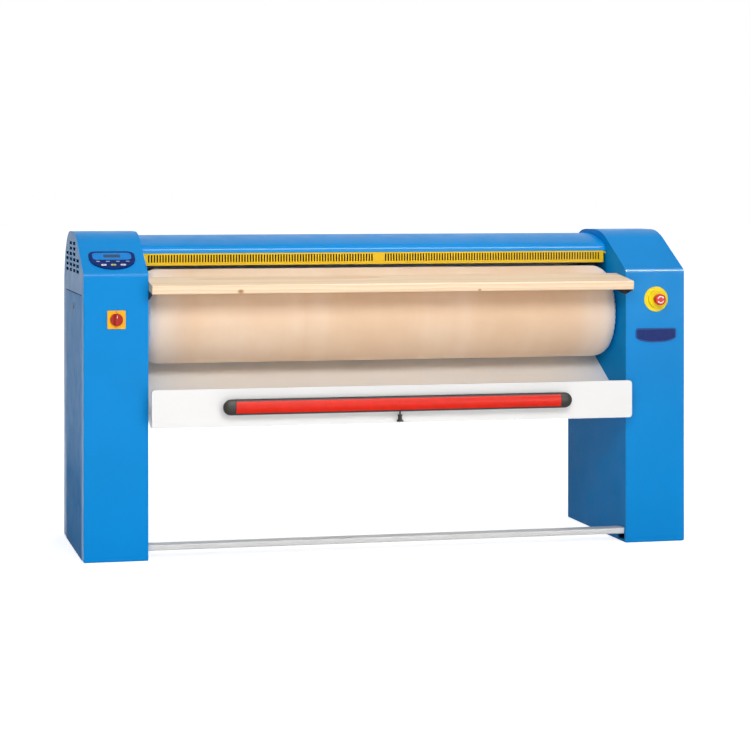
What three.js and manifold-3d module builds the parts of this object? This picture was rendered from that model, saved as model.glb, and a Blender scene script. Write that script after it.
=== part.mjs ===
// Flatwork ironer: a padded roller turns against a heated chest between two painted columns.
// Millimetres. X runs along the machine, the operator stands on the -Y side, and Z is up.

import * as THREE from 'three';
import { mergeVertices } from 'three/addons/utils/BufferGeometryUtils.js';
import Module from 'manifold-3d';

const wasm = await Module();
wasm.setup();

// Machine
const machineWidth = 2150;
const columnWidth = 220;
const columnDepth = 660;
const columnHeight = 1112;

// Clearances that many pieces share
const seatGap = 0.3;        // between pieces that touch
const runningGap = 0.35;    // round shafts and pins
const endGap = 0.4;         // from a cross piece to the side frames
const overrun = 6;          // how far a cutter runs past what it cuts

// Column outline, seen from the side
const foldDrop = 140;       // from the top down to where the front turns into the slope
const slopeAngle = 27.2;    // degrees above level
const browRadius = 290;
const napeRadius = 210;

// Sheet and plate
const panelSheet = 2;
const framePlate = 5;
const panelFootGap = 3;     // painted panels end this far above the floor

// Column panels
const frontReturn = 60;     // the front panel wraps this far round the outer side
const rearReturn = 80;
const coverDrop = 212;      // from the top down to the cover's lower seam
const skirtHeight = 180;    // seam between service panel and base
const basePlate = 4;

// Vent slots in the cover's outer cheek
const ventLength = 76;
const ventHeight = 11;
const ventPitch = 116;
const ventRowPitch = 19;
const ventRows = 6;
const ventColumns = 4;
const ventFirstRow = 76;    // lowest row above the seam
const ventInset = 122;      // rearmost slot's centre, from the column's rear
const ventMargin = 16;      // metal left between a slot and the outline

// Service panel lock
const lockHeadRadius = 11;
const lockHeadHeight = 2;
const lockBarrelRadius = 8;
const lockDrop = 47;        // below the seam
const lockTongueLength = 62;
const lockTongueWidth = 14;
const lockTongueThickness = 2;
const lockTongueGap = 3;    // behind the panel's inner face
const lockSlotWidth = 2.4;
const lockSlotDepth = 1.2;

// Roller
const rollerInset = 226;    // axis behind the columns' front
const rollerDrop = 295;     // axis below the columns' top
const rollerRadius = 167;
const rollerEndRoom = 4;    // from each end to the column
const rollerShoulderReach = 55;  // rounding of each end, along the axis
const rollerShoulderDrop = 40;   // and towards the axis
const paddingThickness = 17;
const paddingLipReach = 32;  // over the drum's end, inwards from its rim
const paddingLipThickness = 24;
const drumWall = 5;
const discRecess = 16;
const discThickness = 8;
const discHoleRadius = 28;
const discHoles = 5;
const journalRadius = 25;
const journalRoot = 22;     // journal length inside the disc
const shaftHoleGap = 9;

// Roller bearings
const bearingFlange = 120;
const bearingFlangeThickness = 10;
const bearingHubWall = 20;
const bearingDepth = 30;
const bearingCornerRadius = 18;

// Chain drive in the right column
const chainPitch = 12.7;
const chainRollerRadius = 4.25;
const chainWidth = 8;
const chainHeight = 9;
const chainGap = 0.5;
const rollerTeeth = 48;
const motorTeeth = 16;
const toothTipShare = 0.3;  // of the chain pitch, above the pitch circle
const toothFlankShare = 0.33;
const toothCrownShare = 0.12;
const sprocketThickness = 7;
const chainPlane = 145;     // from the column's inner face to the sprockets' near side
const sprocketHubWall = 13;
const sprocketHubLength = 22;
const driveHeightShare = 0.698; // gearbox and motor, of the room from base pan to chest pivot
const gearboxSize = 110;
const gearboxFoot = 8;
const gearboxFootOverhang = 14;
const motorRadius = 56;
const motorShaftRadius = 14;
const motorShaftDepth = 24;
const motorHubRadius = 22;

// Heated chest
const pressedGap = 2.5;     // linen's room between pressed chest and padding
const chestThickness = 10;
const chestEndRoom = 10;
const chestLowerAngle = -50;
const chestUpperAngle = 70;
const openAngle = 4;        // degrees, from the pressed place back to rest
const pivotDrop = 217;      // chest pivot below the roller's axis
const elementRadius = 4;
const elementPasses = 8;
const elementEndInset = 40;
const elementEdgeAngle = 8; // from the chest's edges to the outer passes
const insulationSpace = 25;
const coverThickness = 3;
const coverLipAngle = 1;

// Chest yoke: torque beam, saddles and two arms
const beamRadius = 24;
const beamStandoff = 3;
const beamEndLength = 27;   // past the side frame
const beamHoleGap = 4;
const saddleThickness = 8;
const saddleSpacing = 560;
const saddleAngle = 12;
const armThickness = 10;
const armInset = 11;        // from the column's inner face
const armBossRadius = 26;
const armBeamBossRadius = 34;
const pivotPinRadius = 12;
const lugReach = 230;       // press lug behind the pivot
const lugPinRadius = 6;
const lugPinLength = 28;

// Press actuator in the left column
const rodPlane = 40;        // from the column's inner face to the rod's axis
const pressRodRadius = 8;
const eyeThickness = 10;
const eyeHalfWidth = 16;
const eyeClearance = 1.2;   // the linkage is open here
const actuatorRadius = 25;
const actuatorLength = 190;
const actuatorBoreDepth = 90;
const rodExposed = 42;
const actuatorFootWidth = 36;
const actuatorFootHeight = 140;
const actuatorFootReach = 20;

// Cross beam behind the roller
const beamTubeSize = 60;
const beamTubeWall = 3;
const beamTubeBack = 18;    // in front of the rear cover
const beamTubeDrop = 307;   // below the roller's axis

// Hood and rear cover
const hoodDrop = 15;        // inside the columns' outline
const hoodOverhang = 8;     // in front of the roller's axis
const hoodNoseRadius = 36;
const hoodCrownRadius = 620;
const hoodCrownSetback = 10; // crown's centre, in front of the nape's
const rearCoverDrop = 387;  // bottom edge below the roller's axis
const rearCoverFlange = 22;

// Finger guard
const guardOverhang = 13;   // face in front of the roller's axis
const guardRise = 10;       // bottom edge above the roller
const guardHeight = 42;
const guardSheet = 2;
const guardEndRoom = 11;
const guardFlange = 14;
const guardSlotPitch = 10;
const guardSlotWidth = 5;
const guardSlotHeight = 26;
const guardSlotTopMargin = 5;
const guardSlotEndMargin = 14;
const guardPlainWidth = 38;
const guardPinRadius = 4;
const guardPinDrop = 6;     // below the guard's top
const guardPinBack = 11;    // behind the guard's face
const guardPinTab = 14;
const guardPinReach = 4;    // into the side frame

// Feed board
const boardOverhang = 90;   // front edge before the columns
const boardRise = 120.5;    // front edge's top above the roller's axis
const boardNipGap = 10.6;   // from its back edge to the roller, at the front edge's height
const boardThickness = 31;
const boardTilt = 6.45;
const boardEndRoom = 1;
const boardEdgeRadius = 5;
const boardBackChamfer = 18;
const bracketSheet = 3;
const bracketDrop = 31;     // below the board
const bracketFrontInset = 12;
const bracketTipHeight = 4;
const bracketSlope = 76;    // length of the tapering front
const bracketLength = 164;
const bracketFootLength = 100;
const bracketFootStart = 55;
const bracketFootWidth = 42;

// Linen tray
const fasciaOverhang = 70;  // face before the columns
const fasciaDrop = 232;     // top edge below the roller's axis
const fasciaHeight = 130;
const fasciaEndRoom = 2;
const fasciaDepth = 16;
const fasciaSheet = 2;
const fasciaCornerRadius = 11;
const traySheet = 2;
const trayBackGap = 10.8;   // back edge in front of the open chest's lower corner
const trayBackRise = 1.5;   // back edge above that corner
const trayBackFlange = 40;
const trayBendInset = 60;   // bend behind the fascia's face
const trayBendRise = 15;    // bend above the fascia's bottom
const trayLip = 10;

// Trip bar
const tripEndInset = 238;   // each end from the column
const tripHeight = 54;
const tripStandoff = 22;
const tripHolderDepth = 28;
const tripHolderRadius = 12;
const tripInsertHeight = 40;
const tripInsertDepth = 13;
const tripInsertCrown = 5;
const tripDrop = 60;        // below the fascia's top
const tripCapLength = 44;
const tripPinRadius = 5;
const tripPinInset = 167;   // from each end of the bar
const tripCollarRadius = 9;
const tripCollarThickness = 4;

// Plunger knob under the trip bar
const plungerPinRadius = 3;
const plungerPinBelow = 11;
const plungerPinInside = 16;
const plungerBoreSpare = 3;
const plungerHeight = 24;
const plungerBaseRadius = 12;
const plungerNeckRadius = 7;

// Pedal bar
const pedalInset = 20;      // behind the columns' front
const pedalDepth = 60;
const pedalBottom = 30;
const pedalHeight = 20;
const pedalSheet = 2;
const pedalAngle = 3;
const pedalArmThickness = 6;
const pedalArmWidth = 24;
const pedalPivotInset = 390; // behind the columns' front
const pedalPivotZ = 120;
const pedalPinRadius = 8;
const pedalBossRadius = 18;
const pedalSlotGap = 3;
const pedalSpringInset = 230; // behind the columns' front
const pedalSpringRadius = 8;
const pedalSpringWall = 2.5;

// Control panel on the left slope
const panelOffset = 2;      // centre outwards of the column's middle
const panelUp = 96;         // centre above the fold, measured up the slope
const panelWidth = 158;
const panelHeight = 122;
const panelThickness = 4;
const panelCornerRadius = 24;
const panelSideHeight = 26; // straight side below each upper corner
const windowWidth = 56;
const windowHeight = 22;
const windowUp = 28;        // above the panel's centre
const windowDepth = 1.5;
const keyWidth = 19;
const keyHeight = 10;
const keyPitch = 33;
const keyDrop = 34;
const keyStroke = 1;
const keyProud = 0.8;
const keyGap = 0.4;

// Main switch on the left column
const switchOffset = -1;    // centre outwards of the column's middle
const switchDrop = 152;     // below the fold
const switchPlate = 62;
const switchPlateThickness = 4;
const switchPlateRadius = 3;
const switchBodySize = 42;
const switchBodyDepth = 48;
const knobRadius = 21.5;
const knobBase = 8;
const knobGripWidth = 13;
const knobGripHeight = 15;
const knobShaftRadius = 4;
const knobShaftLength = 20;

// Emergency stop on the right column
const stopOffset = 3;       // centre outwards of the column's middle
const stopDrop = 104;       // below the fold
const stopDiscRadius = 45;
const stopDiscThickness = 3;
const stopCollarRadius = 31;
const stopCollarHeight = 12;
const stopBarrelRadius = 11;
const stopBlockSize = 38;
const stopBlockDepth = 40;
const stopHeadRadius = 20;
const stopHeadBackRadius = 17;
const stopHeadDepth = 29;
const stopStroke = 6;
const stopStrokeSpare = 1;
const stopStemRadius = 7;
const stopHeadBore = 15;
const stopStemInside = 34;

// Blank badge plate on the right column
const badgeOffset = 3;      // centre outwards of the column's middle
const badgeDrop = 233.5;    // centre below the fold
const badgeWidth = 152;
const badgeHeight = 51;
const badgeSideHeight = 22; // straight side below each upper corner
const badgeThickness = 2;
const badgeRadius = 9;

// Switchgear box in the left column
const boxFrontInset = 30;
const boxDepth = 100;
const boxWidth = 165;
const boxTopGap = 49;       // below the main switch's body
const boxHeight = 300;

// Cable gland in the left column's rear panel
const glandZ = 150;
const glandThreadRadius = 16;
const glandHeadRadius = 22;
const glandHeadLength = 18;
const glandTailLength = 14;
const glandBore = 9;

// Steps round circles and arcs
const roundSides = 20;
const largeSides = 40;
const smallSides = 10;
const arcSteps = 8;
const cornerSteps = 4;
const shoulderSteps = 6;

const radians = Math.PI / 180;
const innerFace = machineWidth / 2 - columnWidth;
const outerFace = machineWidth / 2;
const frontFace = -columnDepth / 2;
const rearFace = columnDepth / 2;
const frameOuter = innerFace + framePlate;
const columnMiddle = innerFace + columnWidth / 2;
const foldHeight = columnHeight - foldDrop;
const seamHeight = columnHeight - coverDrop;
const rollerY = frontFace + rollerInset;
const rollerZ = columnHeight - rollerDrop;
const rollerHalfLength = innerFace - rollerEndRoom;
const columnSides = [
  { name: 'left', sign: -1 },
  { name: 'right', sign: 1 },
];

const finishes = {
  bluePaint: { color: '#0a88d2', roughness: 0.32, metalness: 0.1 },
  zincSteel: { color: '#9aa0a6', roughness: 0.45, metalness: 0.9 },
  darkSteel: { color: '#55595e', roughness: 0.5, metalness: 0.8 },
  castIron: { color: '#4a4e53', roughness: 0.7, metalness: 0.5 },
  aluminium: { color: '#c9ccd0', roughness: 0.25, metalness: 0.95 },
  insulation: { color: '#b9bcc0', roughness: 0.6, metalness: 0.6 },
  yellowPaint: { color: '#f7d43c', roughness: 0.4, metalness: 0.05 },
  whitePaint: { color: '#eeedeb', roughness: 0.35, metalness: 0.05 },
  greyPaint: { color: '#d2d4d6', roughness: 0.4, metalness: 0.1 },
  pine: { color: '#efd3ae', roughness: 0.6, metalness: 0 },
  felt: { color: '#e4c09a', roughness: 0.95, metalness: 0 },
  redPlastic: { color: '#e8402a', roughness: 0.3, metalness: 0 },
  blackRubber: { color: '#26282a', roughness: 0.6, metalness: 0 },
  blackPlastic: { color: '#1d1e20', roughness: 0.4, metalness: 0 },
  yellowPlastic: { color: '#f2c230', roughness: 0.4, metalness: 0 },
  navyPlastic: { color: '#152a72', roughness: 0.3, metalness: 0 },
  displayLens: { color: '#1f5f86', roughness: 0.15, metalness: 0 },
  whitePlastic: { color: '#dfe3e6', roughness: 0.4, metalness: 0 },
  greenPlastic: { color: '#b9cf4a', roughness: 0.4, metalness: 0 },
};

// Solids

function toSolid(geometry) {
  const plain = geometry.clone();
  plain.deleteAttribute('normal');
  plain.deleteAttribute('uv');
  const merged = mergeVertices(plain);
  const corners = merged.index.array;
  const kept = [];
  for (let i = 0; i < corners.length; i += 3) {
    const [a, b, c] = [corners[i], corners[i + 1], corners[i + 2]];
    if (a !== b && b !== c && c !== a) {
      kept.push(a, b, c);
    }
  }
  const vertProperties = new Float32Array(merged.attributes.position.array);
  const build = (triVerts) => new wasm.Manifold(new wasm.Mesh({ numProp: 3, vertProperties, triVerts }));
  const solid = build(new Uint32Array(kept));
  if (solid.volume() > 0) {
    return solid;
  }
  const turned = kept.map((_, i) => kept[i - (i % 3) + 2 - (i % 3)]);
  return build(new Uint32Array(turned));
}

function toGeometry(solid) {
  const mesh = solid.getMesh();
  const points = [];
  for (const corner of mesh.triVerts) {
    const start = corner * mesh.numProp;
    points.push(...mesh.vertProperties.slice(start, start + 3));
  }
  const geometry = new THREE.BufferGeometry();
  geometry.setAttribute('position', new THREE.Float32BufferAttribute(points, 3));
  geometry.computeVertexNormals();
  return geometry;
}

const join = (...solids) => solids.reduce((whole, piece) => whole.add(piece));
const cut = (whole, ...cutters) => cutters.reduce((left, cutter) => left.subtract(cutter), whole);

function block(x0, x1, y0, y1, z0, z1) {
  const geometry = new THREE.BoxGeometry(Math.abs(x1 - x0), Math.abs(y1 - y0), Math.abs(z1 - z0));
  geometry.translate((x0 + x1) / 2, (y0 + y1) / 2, (z0 + z1) / 2);
  return toSolid(geometry);
}

function rodX(y, z, radius, x0, x1, sides = roundSides) {
  const geometry = new THREE.CylinderGeometry(radius, radius, Math.abs(x1 - x0), sides);
  geometry.rotateZ(-Math.PI / 2);
  geometry.translate((x0 + x1) / 2, y, z);
  return toSolid(geometry);
}

function rodY(x, z, radius, y0, y1, sides = roundSides) {
  const geometry = new THREE.CylinderGeometry(radius, radius, Math.abs(y1 - y0), sides);
  geometry.translate(x, (y0 + y1) / 2, z);
  return toSolid(geometry);
}

function rodZ(x, y, radius, z0, z1, sides = roundSides) {
  const geometry = new THREE.CylinderGeometry(radius, radius, Math.abs(z1 - z0), sides);
  geometry.rotateX(Math.PI / 2);
  geometry.translate(x, y, (z0 + z1) / 2);
  return toSolid(geometry);
}

// A prism whose outline is given as pairs, with the pairs' axes and the prism's axis as vectors
function prism(outline, holes, across, up, along, start, length) {
  const shape = new THREE.Shape(outline.map(([a, b]) => new THREE.Vector2(a, b)));
  for (const hole of holes) {
    shape.holes.push(new THREE.Path(hole.map(([a, b]) => new THREE.Vector2(a, b))));
  }
  const geometry = new THREE.ExtrudeGeometry(shape, { depth: length, bevelEnabled: false });
  geometry.applyMatrix4(new THREE.Matrix4().makeBasis(across, up, along));
  geometry.translate(start.x, start.y, start.z);
  return toSolid(geometry);
}

const unitX = new THREE.Vector3(1, 0, 0);
const unitY = new THREE.Vector3(0, 1, 0);
const unitZ = new THREE.Vector3(0, 0, 1);
const backward = new THREE.Vector3(0, -1, 0);

// Outline in Y and Z, run along X
function barX(outline, x0, x1, holes = []) {
  const start = new THREE.Vector3(Math.min(x0, x1), 0, 0);
  return prism(outline, holes, unitY, unitZ, unitX, start, Math.abs(x1 - x0));
}

// Outline in X and Z, run along Y
function barY(outline, y0, y1, holes = []) {
  const start = new THREE.Vector3(0, Math.max(y0, y1), 0);
  return prism(outline, holes, unitX, unitZ, backward, start, Math.abs(y1 - y0));
}

// A turned piece: pairs of radius and distance along the axis
function turned(profile, axis, x, y, z, sides = roundSides) {
  const points = profile.map(([radius, along]) => new THREE.Vector2(radius, along));
  const geometry = new THREE.LatheGeometry([...points, points[0].clone()], sides);
  if (axis === 'x') {
    geometry.rotateZ(-Math.PI / 2);
  }
  if (axis === 'z') {
    geometry.rotateX(Math.PI / 2);
  }
  geometry.translate(x, y, z);
  return toSolid(geometry);
}

function arc(a, b, radius, from, to, steps) {
  const points = [];
  for (let i = 0; i <= steps; i += 1) {
    const angle = (from + ((to - from) * i) / steps) * radians;
    points.push([a + radius * Math.cos(angle), b + radius * Math.sin(angle)]);
  }
  return points;
}

function roundedRectangle(a0, a1, b0, b1, radius, steps = cornerSteps) {
  return [
    ...arc(a1 - radius, b0 + radius, radius, -90, 0, steps),
    ...arc(a1 - radius, b1 - radius, radius, 0, 90, steps),
    ...arc(a0 + radius, b1 - radius, radius, 90, 180, steps),
    ...arc(a0 + radius, b0 + radius, radius, 180, 270, steps),
  ];
}

// A folded sheet: the path is one skin, and the sheet's thickness lies to the left of its way
function ribbon(path, thickness) {
  const offset = path.map(([a, b], i) => {
    const [pa, pb] = path[Math.max(i - 1, 0)];
    const [na, nb] = path[Math.min(i + 1, path.length - 1)];
    const before = new THREE.Vector2(a - pa, b - pb).normalize();
    const after = new THREE.Vector2(na - a, nb - b).normalize();
    const way = before.clone().add(after).normalize();
    const one = before.lengthSq() > 0 ? before : after;
    const stretch = thickness / Math.max(way.dot(one), Number.EPSILON);
    return [a - way.y * stretch, b + way.x * stretch];
  });
  return [...path, ...offset.reverse()];
}

function strap(y0, z0, y1, z1, width, x0, x1) {
  const way = new THREE.Vector2(y1 - y0, z1 - z0).normalize();
  const side = [(-way.y * width) / 2, (way.x * width) / 2];
  const outline = [
    [y0 - side[0], z0 - side[1]],
    [y1 - side[0], z1 - side[1]],
    [y1 + side[0], z1 + side[1]],
    [y0 + side[0], z0 + side[1]],
  ];
  return barX(outline, x0, x1);
}

// The model

const machine = new THREE.Group();

function add(name, solid, finish) {
  const mesh = new THREE.Mesh(toGeometry(solid), new THREE.MeshStandardMaterial(finish));
  mesh.name = name;
  machine.add(mesh);
}

// Column outline, moved in by an inset, open towards the floor

const slope = slopeAngle * radians;
const browCentreY = frontFace + foldDrop / Math.tan(slope) + browRadius * Math.tan(slope / 2);
const napeRound = Math.min(napeRadius, rearFace - browCentreY, coverDrop);
const napeCentreY = rearFace - napeRound;

function foldPoint(inset) {
  const up = (inset - inset * Math.sin(slope)) / Math.cos(slope);
  return [frontFace + inset, foldHeight - inset * Math.cos(slope) + up * Math.sin(slope)];
}

function crownPoints(inset) {
  return [
    ...arc(browCentreY, columnHeight - browRadius, browRadius - inset, 90 + slopeAngle, 90, arcSteps),
    ...arc(napeCentreY, columnHeight - napeRound, napeRound - inset, 90, 0, arcSteps),
  ];
}

function columnOutline(inset, bottom) {
  return [
    [rearFace - inset, bottom],
    [frontFace + inset, bottom],
    foldPoint(inset),
    ...crownPoints(inset),
  ].reverse();
}

// Chest places, given where the chest is pressed and turned back to its rest about the pivot

const pivotY = rollerY;
const pivotZ = rollerZ - pivotDrop;

function opened([y, z]) {
  const turn = -openAngle * radians;
  const fromY = y - pivotY;
  const fromZ = z - pivotZ;
  return [
    pivotY + fromY * Math.cos(turn) - fromZ * Math.sin(turn),
    pivotZ + fromY * Math.sin(turn) + fromZ * Math.cos(turn),
  ];
}

const chestInner = rollerRadius + pressedGap;
const chestOuter = chestInner + chestThickness;
const coverInner = chestOuter + insulationSpace;
const coverOuter = coverInner + coverThickness;
const beamPressed = [rollerY + coverOuter + beamStandoff + beamRadius, rollerZ];
const beamRest = opened(beamPressed);
const lugPressed = [pivotY + lugReach, pivotZ];
const lugRest = opened(lugPressed);
const beamTravel = Math.hypot(beamRest[0] - beamPressed[0], beamRest[1] - beamPressed[1]);

const guardFrontY = rollerY - guardOverhang;
const guardBottom = rollerZ + rollerRadius + guardRise;
const guardTop = guardBottom + guardHeight;
const guardHalfLength = innerFace - guardEndRoom;
const guardPinY = guardFrontY + guardPinBack;
const guardPinZ = guardTop - guardPinDrop;
const pedalFrontY = frontFace + pedalInset;
const pedalBackY = pedalFrontY + pedalDepth;
const pedalPivotY = frontFace + pedalPivotInset;
const pedalSpringY = frontFace + pedalSpringInset;
const pedalTop = pedalBottom + pedalHeight;
const pedalDip = (pedalPivotY - pedalFrontY) * Math.sin(pedalAngle * radians);
const pedalSwing = (pedalPivotZ - pedalBottom) * Math.sin(pedalAngle * radians);

const switchX = columnMiddle + switchOffset;
const switchZ = foldHeight - switchDrop;
const stopX = columnMiddle + stopOffset;
const stopZ = foldHeight - stopDrop;
const glandX = columnMiddle;

// Side frames carry the roller, the chest, the guard and the pedal

function sideFrame(sign) {
  const inset = panelSheet + seatGap;
  const plate = barX(columnOutline(inset, 0), sign * innerFace, sign * frameOuter);
  const near = sign * (innerFace - overrun);
  const far = sign * (frameOuter + overrun);
  const beamHole = beamRadius + beamTravel / 2 + beamHoleGap;
  const beamMiddle = [(beamRest[0] + beamPressed[0]) / 2, (beamRest[1] + beamPressed[1]) / 2];
  const slotFront = pedalFrontY - pedalSlotGap;
  const slotBack = pedalBackY + pedalSwing + pedalSlotGap;
  const slotBottom = pedalBottom - pedalDip - pedalSlotGap;
  const holed = cut(
    plate,
    rodX(rollerY, rollerZ, journalRadius + shaftHoleGap, near, far),
    rodX(beamMiddle[0], beamMiddle[1], beamHole, near, far),
    rodX(guardPinY, guardPinZ, guardPinRadius + runningGap, near, far, smallSides),
    block(near, far, slotFront, slotBack, slotBottom, pedalTop + pedalSlotGap),
  );
  const pivotEnd = sign * (innerFace + armInset + armThickness + seatGap * 2);
  const pedalEnd = sign * (innerFace + armInset + pedalArmThickness + seatGap * 2);
  return join(
    holed,
    rodX(pivotY, pivotZ, pivotPinRadius, sign * innerFace, pivotEnd),
    rodX(pedalPivotY, pedalPivotZ, pedalPinRadius, sign * innerFace, pedalEnd),
  );
}

// The base pan is the column's floor and the skirt below the service panel

function basePan(sign) {
  const skin = sign * (outerFace - panelSheet);
  const edge = panelSheet + seatGap;
  const wallFront = frontFace + frontReturn + seatGap;
  const wallBack = rearFace - rearReturn - seatGap;
  const floorEnd = sign * (outerFace - edge);
  return join(
    block(sign * (frameOuter + seatGap), floorEnd, frontFace + edge, rearFace - edge, 0, basePlate),
    block(sign * (outerFace - edge - overrun), sign * outerFace, wallFront, wallBack, 0, basePlate),
    block(skin, sign * outerFace, wallFront, wallBack, 0, skirtHeight - seatGap),
  );
}

function frontPanel(sign) {
  const skin = sign * (outerFace - panelSheet);
  const back = frontFace + panelSheet;
  const sheet = join(
    block(sign * innerFace, sign * outerFace, frontFace, back, panelFootGap, foldHeight - seatGap * 2),
    block(skin, sign * outerFace, frontFace, frontFace + frontReturn, panelFootGap, seamHeight - seatGap),
  );
  const out = frontFace - overrun;
  if (sign < 0) {
    const half = switchBodySize / 2 + seatGap;
    const low = switchZ - half;
    const high = switchZ + half;
    return cut(sheet, block(-switchX - half, -switchX + half, out, back + overrun, low, high));
  }
  return cut(sheet, rodY(stopX, stopZ, stopBarrelRadius + seatGap, out, back + overrun));
}

function rearPanel(sign) {
  const skin = sign * (outerFace - panelSheet);
  const inside = rearFace - panelSheet;
  const top = seamHeight - seatGap;
  const sheet = join(
    block(sign * innerFace, sign * outerFace, inside, rearFace, panelFootGap, top),
    block(skin, sign * outerFace, rearFace - rearReturn, rearFace, panelFootGap, top),
  );
  if (sign > 0) {
    return sheet;
  }
  return cut(sheet, rodY(-glandX, glandZ, glandThreadRadius + seatGap, inside - overrun, rearFace + overrun));
}

const lockZ = seamHeight - lockDrop;
const lockY = (frontReturn - rearReturn) / 2;

function servicePanel(sign) {
  const skin = sign * (outerFace - panelSheet);
  const front = frontFace + frontReturn + seatGap;
  const back = rearFace - rearReturn - seatGap;
  const sheet = block(skin, sign * outerFace, front, back, skirtHeight, seamHeight - seatGap);
  const barrelHole = lockBarrelRadius + runningGap;
  return cut(sheet, rodX(lockY, lockZ, barrelHole, skin - sign * overrun, sign * (outerFace + overrun)));
}

function panelLock(sign) {
  const face = sign * (outerFace + seatGap);
  const headTop = face + sign * lockHeadHeight;
  const tongueOuter = sign * (outerFace - panelSheet - lockTongueGap);
  const tongueInner = tongueOuter - sign * lockTongueThickness;
  const half = lockTongueWidth / 2;
  const body = join(
    rodX(lockY, lockZ, lockHeadRadius, face, headTop),
    rodX(lockY, lockZ, lockBarrelRadius, tongueInner, headTop - sign * lockSlotDepth),
    block(tongueInner, tongueOuter, lockY - half, lockY + half, lockZ - half, lockZ + lockTongueLength),
  );
  const slotHalf = lockSlotWidth / 2;
  const slotEnd = lockHeadRadius - lockSlotWidth;
  const slotFloor = headTop - sign * lockSlotDepth;
  const slotTop = headTop + sign * overrun;
  const low = lockZ - slotEnd;
  const high = lockZ + slotEnd;
  return cut(body, block(slotFloor, slotTop, lockY - slotHalf, lockY + slotHalf, low, high));
}

// Height of the crown outline above a place across the column's depth
function crownHeight(y, inset) {
  const straight = foldHeight + (y - frontFace) * Math.tan(slope) - inset / Math.cos(slope);
  const browLift = Math.sqrt(Math.max((browRadius - inset) ** 2 - (y - browCentreY) ** 2, 0));
  const napeLift = Math.sqrt(Math.max((napeRound - inset) ** 2 - (y - napeCentreY) ** 2, 0));
  if (y > napeCentreY) {
    return columnHeight - napeRound + napeLift;
  }
  if (y > browCentreY) {
    return columnHeight - inset;
  }
  if (y > browCentreY - browRadius * Math.sin(slope)) {
    return columnHeight - browRadius + browLift;
  }
  return straight;
}

function ventCutters(x0, x1) {
  const cutters = [];
  for (let row = 0; row < ventRows; row += 1) {
    for (let column = 0; column < ventColumns; column += 1) {
      const middle = rearFace - ventInset - column * ventPitch;
      const bottom = seamHeight + ventFirstRow + row * ventRowPitch - ventHeight / 2;
      const top = bottom + ventHeight;
      const front = middle - ventLength / 2;
      const back = middle + ventLength / 2;
      const room = Math.min(crownHeight(front, ventMargin), crownHeight(back, ventMargin));
      if (top < room) {
        cutters.push(block(x0, x1, front, back, bottom, top));
      }
    }
  }
  return cutters;
}

function topCover(sign) {
  const bottom = seamHeight + seatGap;
  const innerFold = [frontFace + panelSheet / Math.sin(slope), foldHeight];
  const outer = [[frontFace, foldHeight], ...crownPoints(0), [rearFace, bottom]];
  const inner = [innerFold, ...crownPoints(panelSheet), [rearFace - panelSheet, bottom]];
  const band = barX([...outer, ...inner.reverse()].reverse(), sign * innerFace, sign * outerFace);
  const skin = sign * (outerFace - panelSheet);
  const cheek = cut(
    barX(columnOutline(0, bottom), skin, sign * outerFace),
    block(
      skin - sign * overrun,
      sign * (outerFace + overrun),
      frontFace - overrun,
      frontFace + panelSheet + seatGap,
      bottom - overrun,
      foldHeight,
    ),
  );
  const vents = ventCutters(skin - sign * overrun, sign * (outerFace + overrun));
  return cut(join(band, cheek), ...vents);
}

for (const { name, sign } of columnSides) {
  add(`side_frame_${name}`, sideFrame(sign), finishes.bluePaint);
  add(`base_pan_${name}`, basePan(sign), finishes.bluePaint);
  add(`front_panel_${name}`, frontPanel(sign), finishes.bluePaint);
  add(`rear_panel_${name}`, rearPanel(sign), finishes.bluePaint);
  add(`service_panel_${name}`, servicePanel(sign), finishes.bluePaint);
  add(`top_cover_${name}`, topCover(sign), finishes.bluePaint);
  add(`panel_lock_${name}`, panelLock(sign), finishes.darkSteel);
}

// Cross beam, hood and rear cover tie the columns together

const crossHalf = innerFace - endGap;
const rearCoverOuter = rearFace - hoodDrop;
const rearCoverInner = rearCoverOuter - panelSheet;

const beamTubeZ = rollerZ - beamTubeDrop;
const rearCoverBottom = rollerZ - rearCoverDrop;

function rearBeam() {
  const back = rearCoverInner - beamTubeBack;
  const front = back - beamTubeSize;
  const half = beamTubeSize / 2;
  const wall = beamTubeWall;
  const through = crossHalf + overrun;
  return cut(
    block(-crossHalf, crossHalf, front, back, beamTubeZ - half, beamTubeZ + half),
    block(-through, through, front + wall, back - wall, beamTubeZ - half + wall, beamTubeZ + half - wall),
  );
}

const hoodTop = columnHeight - hoodDrop;
const hoodCrownY = napeCentreY - hoodCrownSetback;
const noseY = rollerY - hoodOverhang + hoodNoseRadius;
const crownCentreZ = hoodTop - hoodCrownRadius;
const noseZ = crownCentreZ
  + Math.sqrt((hoodCrownRadius - hoodNoseRadius) ** 2 - (hoodCrownY - noseY) ** 2);

function hoodCurve(inset) {
  const edge = 180 - Math.asin((guardTop + endGap - noseZ) / hoodNoseRadius) / radians;
  const blend = Math.atan2(noseZ - crownCentreZ, noseY - hoodCrownY) / radians;
  return [
    ...arc(noseY, noseZ, hoodNoseRadius - inset, edge, blend, cornerSteps),
    ...arc(hoodCrownY, crownCentreZ, hoodCrownRadius - inset, blend, 90, arcSteps),
    ...arc(napeCentreY, hoodTop - napeRound + hoodDrop, napeRound - hoodDrop - inset, 90, 0, arcSteps),
    [rearCoverOuter - inset, seamHeight + seatGap],
  ];
}

function hood() {
  return barX([...hoodCurve(panelSheet), ...hoodCurve(0).reverse()], -crossHalf, crossHalf);
}

function rearCover() {
  const path = [
    [rearCoverOuter, seamHeight - seatGap],
    [rearCoverOuter, rearCoverBottom],
    [rearCoverOuter - rearCoverFlange, rearCoverBottom],
  ];
  return barX(ribbon(path.reverse(), panelSheet), -crossHalf, crossHalf);
}

add('rear_beam', rearBeam(), finishes.darkSteel);
add('hood', hood(), finishes.bluePaint);
add('rear_cover', rearCover(), finishes.bluePaint);

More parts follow.
